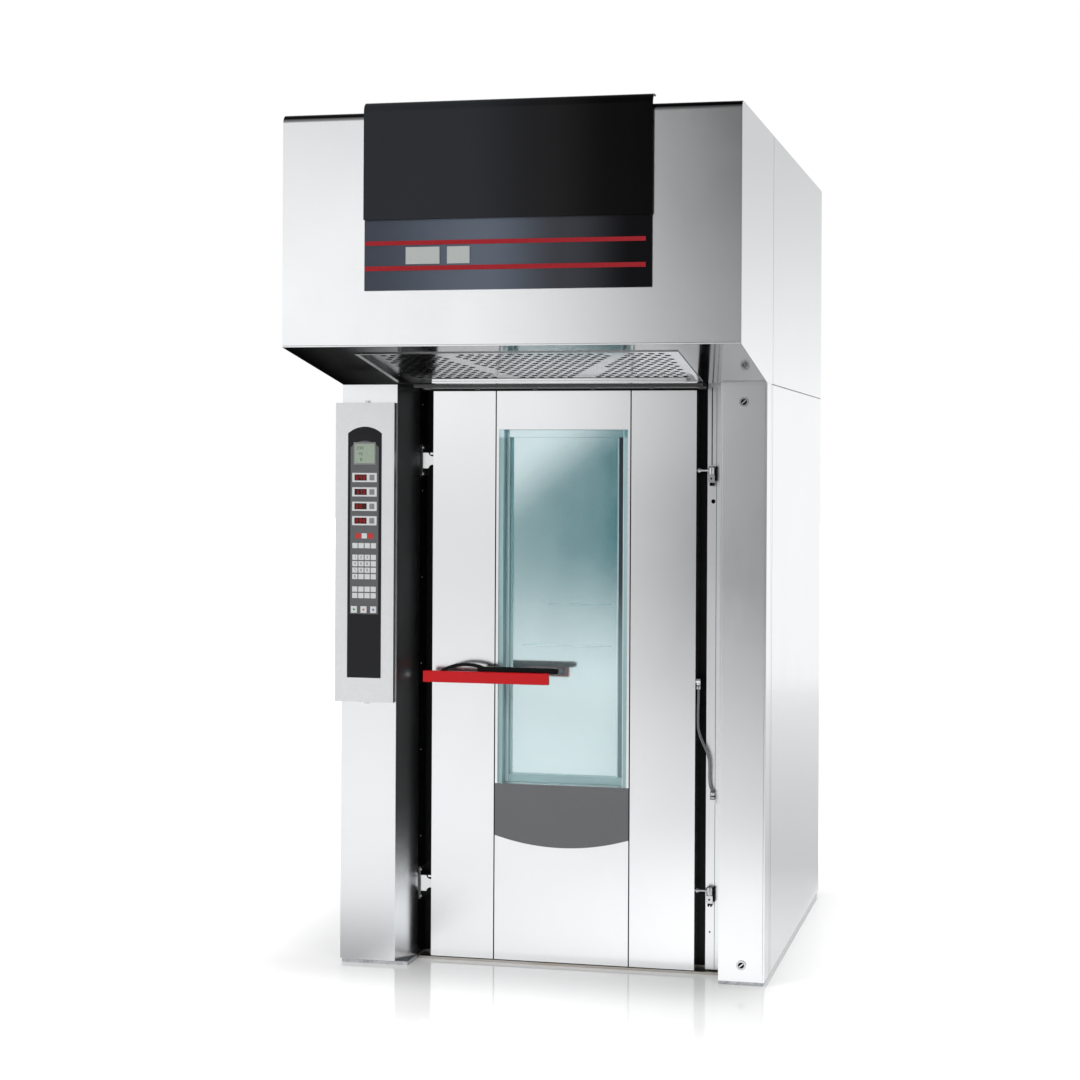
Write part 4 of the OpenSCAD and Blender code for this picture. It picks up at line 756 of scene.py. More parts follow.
def hood_finish():
    """Brushed hood sheet with a painted dark reflection on its underside and on the faces that look up,
    its top edge among them.
    """
    material = metal("stainless hood", 0.93, 0.22, SIDEWAYS, contrast=0.015, depth=0.000003, marks=0.15,
                     dust=0.15)
    tree, bsdf, colour = tree_of(material)
    facing = parts_of(tree, (add(tree, "NewGeometry"), "Normal"))
    below = ranged(tree, (facing, "Z"), 1.0, 0.0, -0.6, -0.2)
    above = ranged(tree, (facing, "Z"), 0.0, 1.0, 0.1, 0.5)
    # run is the underside's painted reflection across the hood. The faces that look up get SHADOW as a
    # painted dark reflection.
    run = over_width(tree, 700, greys((0.0, 0.003), (0.1, 0.008), (0.22, 0.11), (0.36, 0.4),
                                      (0.8, 0.42), (0.9, 0.2), (1.0, 0.3)))
    painted_reflection_faces = figured(tree, "MAXIMUM", below, above)
    feed(tree, bsdf, "Base Color", blended(tree, painted_reflection_faces, colour, blended(tree, above, run, SHADOW)))
    return material


def pane_with_painted_depth():
    """The inner coated pane: bright at its upper left and its foot with painted reflection, deep teal
    across its middle with painted shade.
    """
    material, tree, bsdf = new_material("inner pane", (0.45, 0.66, 0.7))
    place = parts_of(tree, place_on(tree))
    across = ranged(tree, (place, "X"), 0.0, 1.0, at(WINDOW_X[0], 0, 0).x, at(WINDOW_X[1], 0, 0).x)
    above = ranged(tree, (place, "Z"), 0.0, 1.0, *DEEP_IN, "SMOOTHSTEP")
    leaned = figured(tree, "MULTIPLY_ADD", across, -DEEP_RISE, (place, "Z"))
    below = ranged(tree, leaned, 1.0, 0.0, *DEEP_OUT, "SMOOTHSTEP")
    band = figured(tree, "MULTIPLY", above, below)
    deep = figured(tree, "MULTIPLY", band, ranged(tree, across, 0.66, 1.0))
    smear = placed(tree, HANDLING, Amount=0.2, Size=2.2), "Marks"
    # The painted deep teal mixes in over the band, darker towards the right.
    shade = blended(tree, deep, (0.79, 0.845, 0.875), (0.075, 0.185, 0.21))
    feed_all(tree, bsdf, Base_Color=blended(tree, smear, shade, (0.78, 0.88, 0.9)),
             Roughness=ranged(tree, smear, 0.08, 0.24), Metallic=0.85)
    return material


def rail_finish(name, upper, lower, metallic=0.0):
    """Glass-fronted rail, with painted light that makes it lighter towards the door's foot."""
    material, tree, bsdf = new_material(name, upper)
    foot = at(0, 0, WINDOW_Z[0]).z
    ramp = along(tree, "Z", foot, foot + 1.16, [(0.0, lower), (0.3, lower), (0.62, upper),
                                                (0.85, upper), (1.0, tone(1.25, upper))])
    streaks = placed(tree, BRUSHED, Stretch=UPRIGHT, Fineness=700.0)
    feed_all(tree, bsdf, Base_Color=blended(tree, 0.15, ramp, (streaks, "Lines"), "MULTIPLY"),
             Roughness=ranged(tree, (streaks, "Bands"), 0.35, 0.5), Specular_IOR_Level=0.3,
             Metallic=metallic)
    return material


STEEL = panel_metal("stainless panel")
STEEL_SIDE = seamed_steel()
STEEL_HOOD = hood_finish()
STEEL_DOOR = metal("door panel", 0.92, 0.18, UPRIGHT, contrast=0.02, depth=0.000006, marks=0.25)
STEEL_CASE = metal("control case", 0.81, 0.3, UPRIGHT, contrast=0.03, depth=0.00001, marks=0.3)
SPLAYED = splayed_finish()
POST = post_finish()
FILTER = filter_finish()
CORE = core_finish()
LINING = lining_finish()
BODY_DARK = metal("door body", 0.62, 0.35, UPRIGHT, contrast=0.1)
BRIGHT = metal("bright steel", 0.82, 0.15, SIDEWAYS, fineness=1500.0, wear=0.5)
SHADED_RAIL = metal("shaded rail", 0.1, 0.3, SIDEWAYS, fineness=1500.0, wear=0.1)
SHADED_ROD = metal("shaded rod", 0.26, 0.25, SIDEWAYS, fineness=1500.0, wear=0.2)
TURNED = metal("turned steel", 0.62, 0.16, EVEN, fineness=1500.0, wear=0.6)
JAMB = metal("black jamb", 0.02, 0.42, UPRIGHT, contrast=0.25, marks=0.8, wear=0.8)
IRON = metal("dark iron", 0.13, 0.48, EVEN, WARM, 220.0, 0.25, 0.0002, wear=0.7)
HEATER = metal("heater steel", 0.2, 0.42, EVEN, WARM, 400.0, 0.2, 0.00005, wear=0.3)
COPPER = metal("copper pipe", 0.55, 0.3, EVEN, (1.45, 0.78, 0.5), 300.0, 0.12)
ARMOUR = metal("cable armour", 0.24, 0.2, EVEN, COOL, 500.0, 0.2, 0.00005, wear=0.6)
ZINC = spangled_zinc()
CHAMBER = baked_steel()
TRAY = polished_tray()
PANE = coated_pane()
CLEAR = clear_pane()
LAGGING = fibre("mineral wool", (0.52, 0.45, 0.3))
RUBBER = moulded("seal rubber", (0.012, 0.012, 0.013), 0.55, grit=500.0, depth=0.0001)
ENAMEL = moulded("motor enamel", (0.035, 0.075, 0.16), 0.35, grit=300.0, depth=0.0001, coat=0.2)
NYLON = moulded("nylon fittings", (0.045, 0.047, 0.05), 0.42, grit=900.0)
FOIL = moulded("fascia foil", (0.115, 0.117, 0.123), 0.4, grit=1400.0, depth=0.00001, marks=0.15,
               shine=0.2)
FASCIA = moulded("fascia plate", (0.012, 0.012, 0.014), 0.36, grit=1400.0, depth=0.00002, marks=0.15,
                 shine=0.2)
COVER = moulded("display cover", (0.035, 0.002, 0.002), 0.1, depth=0.00001, shine=0.3)
KEY_WHITE = moulded("key white", (0.62, 0.64, 0.64), 0.4, grit=1400.0, depth=0.00002)
KEY_GREY = moulded("key grey", (0.2, 0.205, 0.21), 0.4, grit=1400.0, depth=0.00001)
KEY_RED = moulded("signal key red", (0.5, 0.02, 0.02), 0.35, grit=1400.0, depth=0.00001)
PLATE_PALE = moulded("number plate", (0.62, 0.63, 0.63), 0.4, grit=1400.0, depth=0.00001)
LCD_PALE = moulded("hood number window", (0.36, 0.38, 0.37), 0.22, depth=0.00001, marks=0.1)
LCD_GREEN = moulded("text window", (0.3, 0.37, 0.29), 0.25, depth=0.00001, marks=0.1)
LCD_INK = moulded("text window ink", (0.03, 0.045, 0.04), 0.4, depth=0.00001)
DIGIT_RED = moulded("lit digits", (0.42, 0.004, 0.006), 0.4, depth=0.00001, shine=0.2)
STRIPE_RED = moulded("stripe red", (0.27, 0.008, 0.014), 0.4, depth=0.00001, shine=0.15)
# Painted shade: a dark put in gaps, grooves, holes and on the dark sides of small fittings, where shade
# falls.
PAINTED_SHADE_DARK = moulded("painted shade dark", (0.004, 0.004, 0.0045), 0.6, depth=0.00001, shine=0.1)
TRIM = moulded("grey trim", (0.135, 0.138, 0.145), 0.4, grit=900.0, depth=0.00001, marks=0.2)
RED = moulded("red grip", (0.56, 0.004, 0.008), 0.35, grit=500.0, depth=0.00002, shine=0.25,
              varied=0.03, worn_to=(0.6, 0.02, 0.02))
BLACK = moulded("black lever", (0.0025, 0.0025, 0.003), 0.25, grit=200.0, depth=0.00001, shine=0.12,
                wear=0.02, marks=0.1)
# The visor's and the strip's stops are painted reflections, darkest towards the hood's right end.
VISOR = shaded_sheet("smoked visor", [(0.0, (0.016, 0.0185, 0.0215)), (0.35, (0.0165, 0.018, 0.0215)),
                                      (0.62, (0.008, 0.008, 0.009)), (0.85, (0.001, 0.001, 0.001))],
                     0.12, 0.12)
STRIP = shaded_sheet("display strip", [(0.0, (0.04, 0.047, 0.064)), (0.42, (0.09, 0.108, 0.14)),
                                       (0.7, (0.035, 0.037, 0.045)), (0.93, (0.002, 0.002, 0.003))],
                     0.2, 0.12, 900.0)
INNER_PANE = pane_with_painted_depth()
RAIL_PALE = rail_finish("lamp rail pale", (0.3, 0.5, 0.55), (0.56, 0.68, 0.71))
RAIL_DEEP = rail_finish("lamp rail deep", (0.32, 0.54, 0.58), (0.66, 0.8, 0.83))
RAIL_EDGE = rail_finish("lamp rail edge", (0.7, 0.78, 0.8), (0.8, 0.86, 0.88), 0.5)
# The window gap is a dark strip of painted shade.
RAIL_DARK = rail_finish("window gap", (0.035, 0.045, 0.07), (0.3, 0.38, 0.41))
RAIL_POST = rail_finish("window post", (0.86, 0.9, 0.9), (0.9, 0.92, 0.92), 0.8)
GLINT = moulded("shelf glint", (0.62, 0.74, 0.76), 0.4, depth=0.00001)
GLINT_FAINT = moulded("faint shelf glint", (0.42, 0.58, 0.6), 0.4, depth=0.00001)

SLOT_FINISH = {
    "stainless_panel": STEEL, "polished_tray": TRAY, "bright_steel": BRIGHT,
    "galvanised_steel": ZINC, "chamber_steel": CHAMBER, "black_jamb": JAMB,
    "seal_rubber": RUBBER, "lagging": LAGGING, "motor_enamel": ENAMEL, "dark_iron": IRON,
    "heater_steel": HEATER, "copper_pipe": COPPER, "nylon_fittings": NYLON,
    "smoked_visor": VISOR, "display_strip": STRIP, "fascia_foil": FOIL,
    "display_cover": COVER, "key_white": KEY_WHITE, "door_panel": STEEL_DOOR,
    "door_body": BODY_DARK, "trim_grey": TRIM, "window_glass": PANE, "cable_armour": ARMOUR,
    "red_grip": RED, "black_lever": BLACK,
}


# ---- studio ----

# The studio's places are in the frame's metres.
# The oven's footprint on the floor: axis, middle and half its size.
FOOTPRINT = (("X", -0.14, 0.6), ("Y", 0.28, 0.75))
CARD_HEIGHT = 0.003


def make_world(fill):
    """Even light of one level, seen as plain white by the camera, mirrors and glass."""
    world = bpy.data.worlds.new("studio")
    bpy.context.scene.world = world
    world.use_nodes = True
    tree = world.node_tree
    ray = add(tree, "LightPath")
    first = figured(tree, "MAXIMUM", (ray, "Is Camera Ray"), (ray, "Is Glossy Ray"))
    seen = figured(tree, "MAXIMUM", first, (ray, "Is Transmission Ray"))
    feed_all(tree, tree.nodes["Background"], Color=blended(tree, seen, (fill, fill, fill), WHITE),
             Strength=1.0)


def floor_distance(tree):
    """How far a point of the floor lies outside the oven's footprint, in metres, as an output."""
    place = parts_of(tree, place_on(tree))
    squares = []
    for axis, centre, half in FOOTPRINT:
        size = figured(tree, "ABSOLUTE", figured(tree, "SUBTRACT", (place, axis), centre))
        past = figured(tree, "MAXIMUM", figured(tree, "SUBTRACT", size, half), 0.0)
        squares.append(figured(tree, "POWER", past, 2.0))
    return figured(tree, "SQRT", figured(tree, "ADD", *squares))


def make_floor(half_size, level, near_glow, far_glow, open_glow, mirrored_glow):
    """A white floor that keeps shadows and mirrors a little of what stands on it. Its glow is painted
    light, from near_glow at the oven, which paints shade round its foot, to far_glow, and open_glow is
    added further out."""
    bm = bmesh.new()
    bmesh.ops.create_grid(bm, x_segments=1, y_segments=1, size=half_size)
    floor = to_piece("studio_floor", bm)
    material, tree, bsdf = new_material("studio floor", (level, level, level))
    outside = floor_distance(tree)
    away = ranged(tree, outside, 0.0, 1.0, 0.0, 0.5, "SMOOTHSTEP")
    beyond = ranged(tree, outside, 0.0, 1.0, 0.45, 1.1, "SMOOTHSTEP")
    # The glow is painted light, lowest at the oven so that it paints shade round its foot. Mirrors see a
    # painted glow of mirrored_glow.
    near = blended(tree, away, (near_glow,) * 3, (far_glow,) * 3)
    glow = blended(tree, beyond, near, (open_glow,) * 3, "ADD")
    ray = add(tree, "LightPath")
    mirrored = blended(tree, (ray, "Is Glossy Ray"), (0.0,) * 3, (mirrored_glow,) * 3)
    feed_all(tree, bsdf, Base_Color=(level, level, level), Roughness=0.1, Specular_IOR_Level=0.6,
             Emission_Color=blended(tree, (ray, "Is Camera Ray"), mirrored, glow),
             Emission_Strength=1.0)
    paint(floor, material)


def card_material(name, levels, cover):
    """A one-sided glow by levels along the card's V, hiding what is behind it by cover along U."""
    material = bpy.data.materials.new(name)
    material.use_nodes = True
    tree = material.node_tree
    tree.nodes.clear()
    place = parts_of(tree, (add(tree, "TexCoord"), "UV"))
    shown = scale_of(tree, (place, "Y"), greys(*levels))
    hidden = scale_of(tree, (place, "X"), greys(*cover))
    front = figured(tree, "SUBTRACT", 1.0, (add(tree, "NewGeometry"), "Backfacing"))
    glow = add(tree, "Emission")
    feed(tree, glow, "Color", shown)
    mix = add(tree, "MixShader")
    feed(tree, mix, 0, figured(tree, "MULTIPLY", front, hidden))
    feed(tree, mix, 1, (add(tree, "BsdfTransparent"), "BSDF"))
    feed(tree, mix, 2, (glow, "Emission"))
    feed(tree, add(tree, "OutputMaterial"), "Surface", (mix, "Shader"))
    return material


def make_card(name, corners, levels, cover):
    """A card that only mirrors see. Its tone follows levels from its first to its last edge, and
    cover is how much of what is behind it is hidden, from its left to its right edge."""
    bm = bmesh.new()
    uv = bm.loops.layers.uv.new("card")
    face = bm.faces.new([bm.verts.new(c) for c in corners])
    for loop, place in zip(face.loops, ((0, 0), (1, 0), (1, 1), (0, 1))):
        loop[uv].uv = place
    mesh = bpy.data.meshes.new(name)
    bm.to_mesh(mesh)
    bm.free()
    card = paint(linked(name, mesh), card_material(name, levels, cover))
    card.visible_camera = False
    card.visible_diffuse = False
    card.visible_shadow = False
    card.visible_transmission = False


def upright_card(name, near, far, top, levels, cover):
    """A card that stands on the floor from one plan point to another, with levels by height."""
    corners = ((*near, 0.0), (*far, 0.0), (*far, top), (*near, top))
    make_card(name, corners, [(height / top, level) for height, level in levels], cover)


def floor_card(name, x, y, height, levels, cover):
    """A card that lies over the floor, with levels from its front to its back."""
    corners = [(x[i], y[j], height) for i, j in ((0, 0), (1, 0), (1, 1), (0, 1))]
    make_card(name, corners, levels, cover)


def make_lamp(name, place, aim, size, watts):
    """A soft rectangular lamp that mirrors don't show."""
    data = bpy.data.lights.new(name, "AREA")
    data.shape = "RECTANGLE"
    data.size, data.size_y = size
    data.energy = watts
    lamp = linked(name, data)
    lamp.location = place
    lamp.rotation_euler = (Vector(aim) - Vector(place)).to_track_quat("-Z", "Y").to_euler()
    lamp.visible_glossy = False


def make_walls():
    """The walls, ceiling and dark openings of the room that the steel and glass mirror."""
    upright_card("far_wall", (9.0, -8.7), (-12.0, -8.7), 5.0,
                 [(0.0, 0.96), (0.3, 0.9), (0.75, 0.79), (1.05, 0.77), (1.4, 0.8), (1.8, 0.9),
                  (2.1, 0.98), (2.5, 1.12), (3.0, 1.06), (3.3, 0.98), (3.65, 0.9), (4.2, 0.75)],
                 [(0.0, 1.0), (1.0, 1.0)])
    upright_card("dark_room", (6.6, -8.5), (-2.4, -8.5), 5.0,
                 [(0.0, 0.4), (0.3, 0.28), (0.6, 0.18), (0.9, 0.1), (1.2, 0.08), (1.5, 0.15),
                  (1.9, 0.35), (2.1, 0.32), (2.5, 0.17), (2.9, 0.09), (3.3, 0.03), (3.65, 0.0)],
                 [(0.73, 1.0), (0.8, 0.88), (0.867, 0.5), (0.915, 0.08), (0.944, 0.0)])
    upright_card("dark_room_right", (1.75, -0.8), (1.75, -3.2), 4.6, [(0.0, 0.012), (4.6, 0.012)],
                 [(0.0, 0.0), (0.12, 1.0), (0.85, 1.0), (1.0, 0.0)])
    upright_card("back_wall", (-5.0, 9.0), (8.0, 9.0), 5.0,
                 [(0.0, 1.0), (2.1, 1.0), (2.4, 0.94), (2.9, 0.84), (3.4, 0.73), (4.0, 0.64)],
                 [(0.0, 0.0), (0.1, 1.0), (1.0, 1.0)])
    make_card("dark_ceiling", ((9.0, 2.0, 4.9), (9.0, -9.0, 4.9), (-9.0, -9.0, 4.9), (-9.0, 2.0, 4.9)),
              [(0.0, 0.1), (0.48, 0.1), (0.58, 0.3), (1.0, 0.3)], [(0.0, 0.0), (0.1, 1.0), (1.0, 1.0)])


def make_floor_tones():
    """What the polished faces mirror of the floor in front of the oven and beside it."""
    make_card("floor_shade", [(x, y, CARD_HEIGHT) for x, y in
                              ((8.0, 0.2), (8.0, 16.0), (0.73, 16.0), (0.73, 0.2))],
              [(0.0, 0.55), (1.0, 0.55)],
              [(0.0, 0.0), (0.09, 0.85), (0.22, 0.7), (0.52, 0.3), (1.0, 0.0)])
    floor_card("floor_gleam", (-0.75, 0.74), (-3.3, -0.52), CARD_HEIGHT,
               [(0.0, 0.8), (0.3, 1.04), (0.5, 1.16), (0.85, 1.14), (1.0, 1.04)],
               [(0.0, 0.0), (0.22, 0.3), (0.55, 0.75), (0.75, 1.0), (1.0, 1.0)])
    floor_card("floor_dim_left", (-1.8, -0.42), (-2.1, -0.52), CARD_HEIGHT + 0.001,
               [(0.0, 0.91), (0.3, 0.95), (0.42, 0.84), (0.576, 0.68), (0.85, 0.48), (1.0, 0.42)],
               [(0.0, 1.0), (0.83, 1.0), (0.96, 0.0)])
    floor_card("floor_shade_right", (0.76, 1.75), (-4.5, -0.55), CARD_HEIGHT,
               [(0.0, 0.012), (1.0, 0.012)], [(0.0, 1.0), (1.0, 1.0)])


bpy.context.scene.view_settings.view_transform = "Standard"
make_world(0.62)
make_floor(half_size=60.0, level=0.86, near_glow=0.08, far_glow=0.38, open_glow=0.3,
           mirrored_glow=0.14)
make_walls()
make_floor_tones()
make_lamp("key_lamp", (-3.2, -4.6, 4.6), (0.0, 0.0, 1.2), (2.6, 2.0), 130.0)
make_lamp("fill_lamp", (3.4, -4.8, 3.4), (0.0, -0.3, 1.2), (2.4, 2.4), 60.0)


# ---- pieces taken over from their solids, with real corners ----

BODY_OF = {node: name for name, nodes in frame["record"]["behaviour"]["bodies"].items()
           for node in nodes}
SLOT_OF = {part["node"]: part["material_slot"] for part in frame["record"]["subparts"]}


def solid_mesh(node):
    """The faces of a CAD solid, with flat regions made whole again."""
    bm = bmesh.new()
    bm.from_mesh(frame["nodes"][node].data)
    bmesh.ops.remove_doubles(bm, verts=bm.verts, dist=2e-6)
    bmesh.ops.dissolve_limit(bm, angle_limit=math.radians(1.0), verts=bm.verts, edges=bm.edges)
    return bm


def with_soft_corners(name, node, edge, finish, steps=2, limit=30.0):
    """A piece in a solid's own shape, with its sharp corners broken as a press or a file does."""
    bm = solid_mesh(node)
    soften(bm, edge, steps, limit)
    settle(paint(to_piece(name, bm), finish), BODY_OF[node], SLOT_OF[node], node)


def add_part(owner_body, slot, finish, piece):
    """A small extra piece that replaces no solid."""
    settle(paint(piece, finish), owner_body, slot)


def add_group(name, owner_body, slot, finish, pieces, *nodes):
    """Several small pieces of one finish, joined and set on one body."""
    settle(joined(name, [paint(piece, finish) for piece in pieces]), owner_body, slot, *nodes)


# ---- hinges and cable ----

BLOCKS_X, BLOCKS_Y, _ = spans("hinge_blocks")
_, EYES_Y, EYES_Z = spans("hinge_eyes")
LEAF_EDGE = spans("door_skins")[0][1]
EYE_HEIGHT = 28.0
HINGE_X, HINGE_Y = middle(BLOCKS_X), middle(EYES_Y)
HINGE_FEET = (EYES_Z[1] - EYE_HEIGHT, EYES_Z[0])
HINGE_EYE = [(0.0, 0.0), (9.8, 0.0), (11.0, 1.2), (11.0, 22.0), (8.0, EYE_HEIGHT - 0.6),
             (6.5, EYE_HEIGHT), (0.0, EYE_HEIGHT)]
HINGE_BOLT = [(0.0, 0.0), (4.0, 0.0), (4.0, 4.6), (9.0, 5.0), (9.0, 8.0), (6.8, 8.8), (6.8, 13.0),
              (3.8, 14.0), (3.8, 40.0), (0.0, 40.0)]
CABLE_RADIUS = 5.0
CABLE_GROOVE = 4.35
CABLE_PITCH = 1.9
CABLE_SIDES = 20
ELBOW_X, ELBOW_Z = HINGE_X - 40.0, 943.0
GLAND_X, GLAND_Z = HINGE_X + 8.0, 563.3
# The cable's way from the elbow to the gland, off the hinges' axis and the elbow's height.
CABLE_ROUTE = [
    (-40, 0, -14), (-40, 0, -30), (-40, 0, -60), (-41, 0, -90), (-41, -1, -120), (-40, -2, -150),
    (-34, -3, -175), (-24, -4, -200), (-12, -4, -225), (-4, -3, -250), (-2, -1, -280), (-2, 1, -310),
    (0, 2, -335), (6, 1, -355), (8, 0, -368), (8, 0, -380)]


def smooth_route(points, step):
    """Points every step along a curve through the given ones."""
    line = []
    for i in range(len(points) - 1):
        before = points[max(i - 1, 0)]
        a, b = points[i], points[i + 1]
        after = points[min(i + 2, len(points) - 1)]
        count = max(2, round((b - a).length / step))
        for k in range(count):
            t = k / count
            line.append(0.5 * (2 * a + (b - before) * t + (2 * before - 5 * a + 4 * b - after) * t * t
                               + (3 * a - before - 3 * b + after) * t ** 3))
    line.append(points[-1])
    return line


def ribbed_tube(name, line):
    """A corrugated tube whose radius goes in and out from one point of its line to the next."""
    bm = bmesh.new()
    rings = []
    for i, place in enumerate(line):
        ahead = (line[min(i + 1, len(line) - 1)] - line[max(i - 1, 0)]).normalized()
        across = ahead.cross(Vector((0.0, 1.0, 0.0))).normalized()
        other = across.cross(ahead).normalized()
        radius = (CABLE_RADIUS if i % 2 else CABLE_GROOVE) * MM
        rings.append([bm.verts.new(place + radius * (math.cos(a) * across + math.sin(a) * other))
                      for a in (2 * math.pi * k / CABLE_SIDES for k in range(CABLE_SIDES))])
    for a, b in zip(rings, rings[1:]):
        bridged(bm, a, b)
    bm.faces.new(rings[0][::-1])
    bm.faces.new(rings[-1])
    return to_piece(name, bm, 80.0)


def make_cable():
    """The corrugated door cable, from the elbow on the leaf down to the gland on the hinge post."""
    points = [at(HINGE_X + x, HINGE_Y + y, ELBOW_Z + z) for x, y, z in CABLE_ROUTE]
    line = smooth_route(points, CABLE_PITCH * MM)
    cable = paint(ribbed_tube("door_conduit", line), ARMOUR)
    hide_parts("door_cable")
    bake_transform(cable)


def make_cable_ends():
    """The gland on the hinge post with its rings of painted shade, and the elbow's nut on the leaf."""
    collar = turned("conduit_collar", [(5.3, 0.0), (8.0, 0.0), (8.0, 7.0), (6.6, 8.0), (6.6, 11.0),
                                       (7.6, 12.0), (7.6, 24.0), (5.6, 25.5)],
                    at(GLAND_X, HINGE_Y, GLAND_Z))
    add_part("cabinet", "bright_steel", TURNED, collar)
    # The rings are painted shade at the collar's foot, neck and top.
    rings = [turned(f"collar_ring_{i}", [(5.3, 0.0), (8.3, 0.0), (8.3, 2.4), (5.3, 2.4)],
                    at(GLAND_X, HINGE_Y, GLAND_Z + rise)) for i, rise in enumerate((0.2, 9.0, 22.0))]
    add_group("collar_rings", "cabinet", "dark_iron", PAINTED_SHADE_DARK, rings)
    nut = turned("elbow_nut", [(5.3, 0.0), (7.0, 0.0), (7.4, 1.0), (7.4, 9.0), (6.6, 10.0), (5.4, 10.0)],
                 at(ELBOW_X, HINGE_Y, ELBOW_Z - 27.0))
    add_part("door", "bright_steel", TURNED, nut)


def make_hinges():
    """Turned eyes with their bolts and flanged nuts on the leaf, and what carries them, dark with
    painted shade.
    """
    arms, carried = [], []
    for i, foot in enumerate(HINGE_FEET):
        arms.append(turned(f"hinge_eye_{i}", HINGE_EYE, at(HINGE_X, HINGE_Y, foot)))
        arms.append(turned(f"hinge_bolt_{i}", HINGE_BOLT,
                           at(LEAF_EDGE + 0.2, HINGE_Y, foot + EYE_HEIGHT / 2), "X"))
        # The bracket, the hole and the feet are pieces of painted shade.
        carried.append(slab(f"hinge_bracket_{i}", (BLOCKS_X[1] + 0.4, BLOCKS_X[1] + 5.5),
                            (BLOCKS_Y[0] + 8.0, BLOCKS_Y[1] - 0.1), (foot - 20.0, foot + 27.0)))
        carried.append(turned(f"hinge_hole_{i}", peg(3.0, 0.3),
                              at(HINGE_X, BLOCKS_Y[0] + 0.05, foot - 12.0), "-Y"))
        for side, x in (("left", BLOCKS_X[0] + 5.0), ("right", BLOCKS_X[0] + 13.5)):
            carried.append(slab(f"hinge_foot_{i}_{side}", (x, x + 4.0),
                                (BLOCKS_Y[0] + 3.0, BLOCKS_Y[1] - 0.1), (foot - 36.0, foot - 25.4)))
    add_group("hinge_arms", "door", "bright_steel", TURNED, arms, "hinge_eyes")
    add_group("hinge_brackets", "cabinet", "dark_iron", PAINTED_SHADE_DARK, carried)


# ---- hood ----

STRIP_FRONT = spans("display_panel")[1][0]
RED_LINES_X = (-437.0, 420.0)
RED_LINES_Z = ((2213.0, 2227.0), (2289.0, 2302.0))
HOOD_WINDOWS_X = ((-308.6, -203.7), (-180.5, -111.0))
HOOD_WINDOWS_Z = (2232.0, 2283.0)
FILTER_LIPS_X, FILTER_LIPS_Y = (-384.0, 449.0), (-41.0, -38.9)
FILTER_LIPS_Z = ((1898.2, 1904.4), (1905.2, 1912.0))
BEAD_RADIUS = 3.0
BEAD_REACH = 697.0


def make_hood():
    """The hood's sheets with its red lines, number windows, filter lips and rolled lower lip."""
    with_soft_corners("hood_wrap", "hood_casing", 0.8, STEEL_HOOD, limit=40.0)
    with_soft_corners("visor_fold", "visor", 0.9, VISOR, limit=40.0)
    with_soft_corners("strip_panel", "display_panel", 0.8, STRIP)
    for i, (low, high) in enumerate(RED_LINES_Z):
        line = strips_piece(f"red_line_{i}", [(*RED_LINES_X, low, high)],
                            STRIP_FRONT - 0.25, STRIP_FRONT + 0.2)
        add_part("cabinet", "display_strip", STRIPE_RED, line)
    for i, span in enumerate(HOOD_WINDOWS_X):
        window = slab(f"hood_window_{i}", span, (STRIP_FRONT - 0.5, STRIP_FRONT + 0.5),
                      HOOD_WINDOWS_Z, 0.4)
        add_part("cabinet", "display_strip", LCD_PALE, window)
    lips = [slab(f"filter_lip_{i}", FILTER_LIPS_X, FILTER_LIPS_Y, span, 0.4)
            for i, span in enumerate(FILTER_LIPS_Z)]
    add_group("filter_lips", "cabinet", "stainless_panel", BRIGHT, lips)
    bead = turned("lip_bead", peg(BEAD_RADIUS, 2 * BEAD_REACH), at(-BEAD_REACH, -578.5, 1990.5), "X")
    add_part("cabinet", "stainless_panel", BRIGHT, bead)


# ---- columns and their fittings ----

POST_TOP = 1888.0
LOCK_TILT = -40.0
JAMB_SCREW = [(0.0, 0.0), (3.4, 0.0), (3.0, 1.0), (1.2, 1.6), (0.0, 1.6)]
JAMB_SCREWS = 6
JAMB_FACE = spans("left_column")[0][1]
JAMB_SCREW_FOOT = 401.0
JAMB_SCREW_PITCH = 287.0


def make_columns():
    """The columns, the side and rear sheets, and the fittings that stand on them."""
    with_soft_corners("column_left", "left_column", 1.8, SPLAYED, steps=3)
    with_soft_corners("column_right", "right_column", 1.8, STEEL, steps=3, limit=60.0)
    with_soft_corners("cover_plate", "service_cover", 0.5, STEEL, limit=60.0)
    with_soft_corners("striker_tongues", "strikers", 0.8, BRIGHT, limit=40.0)
    with_soft_corners("hinge_seats", "hinge_blocks", 1.6, TURNED, steps=3, limit=40.0)
    with_soft_corners("seal_holders", "seal_clips", 0.4, SHADED_ROD, limit=40.0)
    with_soft_corners("post_fold", "hinge_post", 0.8, POST, limit=40.0)
    with_soft_corners("side_sheets", "side_panels", 0.8, STEEL_SIDE)
    with_soft_corners("rear_sheets", "back_panels", 0.5, STEEL)
    make_post_lines()
    for node in ("lock_upper", "lock_lower"):
        make_lock(node)
    make_jamb_screws()


def make_post_lines():
    """The hinge post's open groove above the upper hinge and its joint with the column, as dark strips
    of painted shade.
    """
    groove = slab("post_groove", (501.5, 505.0), (143.8, 145.0), (1638.0, POST_TOP), 0.2)
    joint = slab("post_joint", (517.6, 519.0), (143.7, 145.0), (12.0, POST_TOP), 0.2)
    add_group("post_lines", "cabinet", "seal_rubber", PAINTED_SHADE_DARK, (groove, joint))


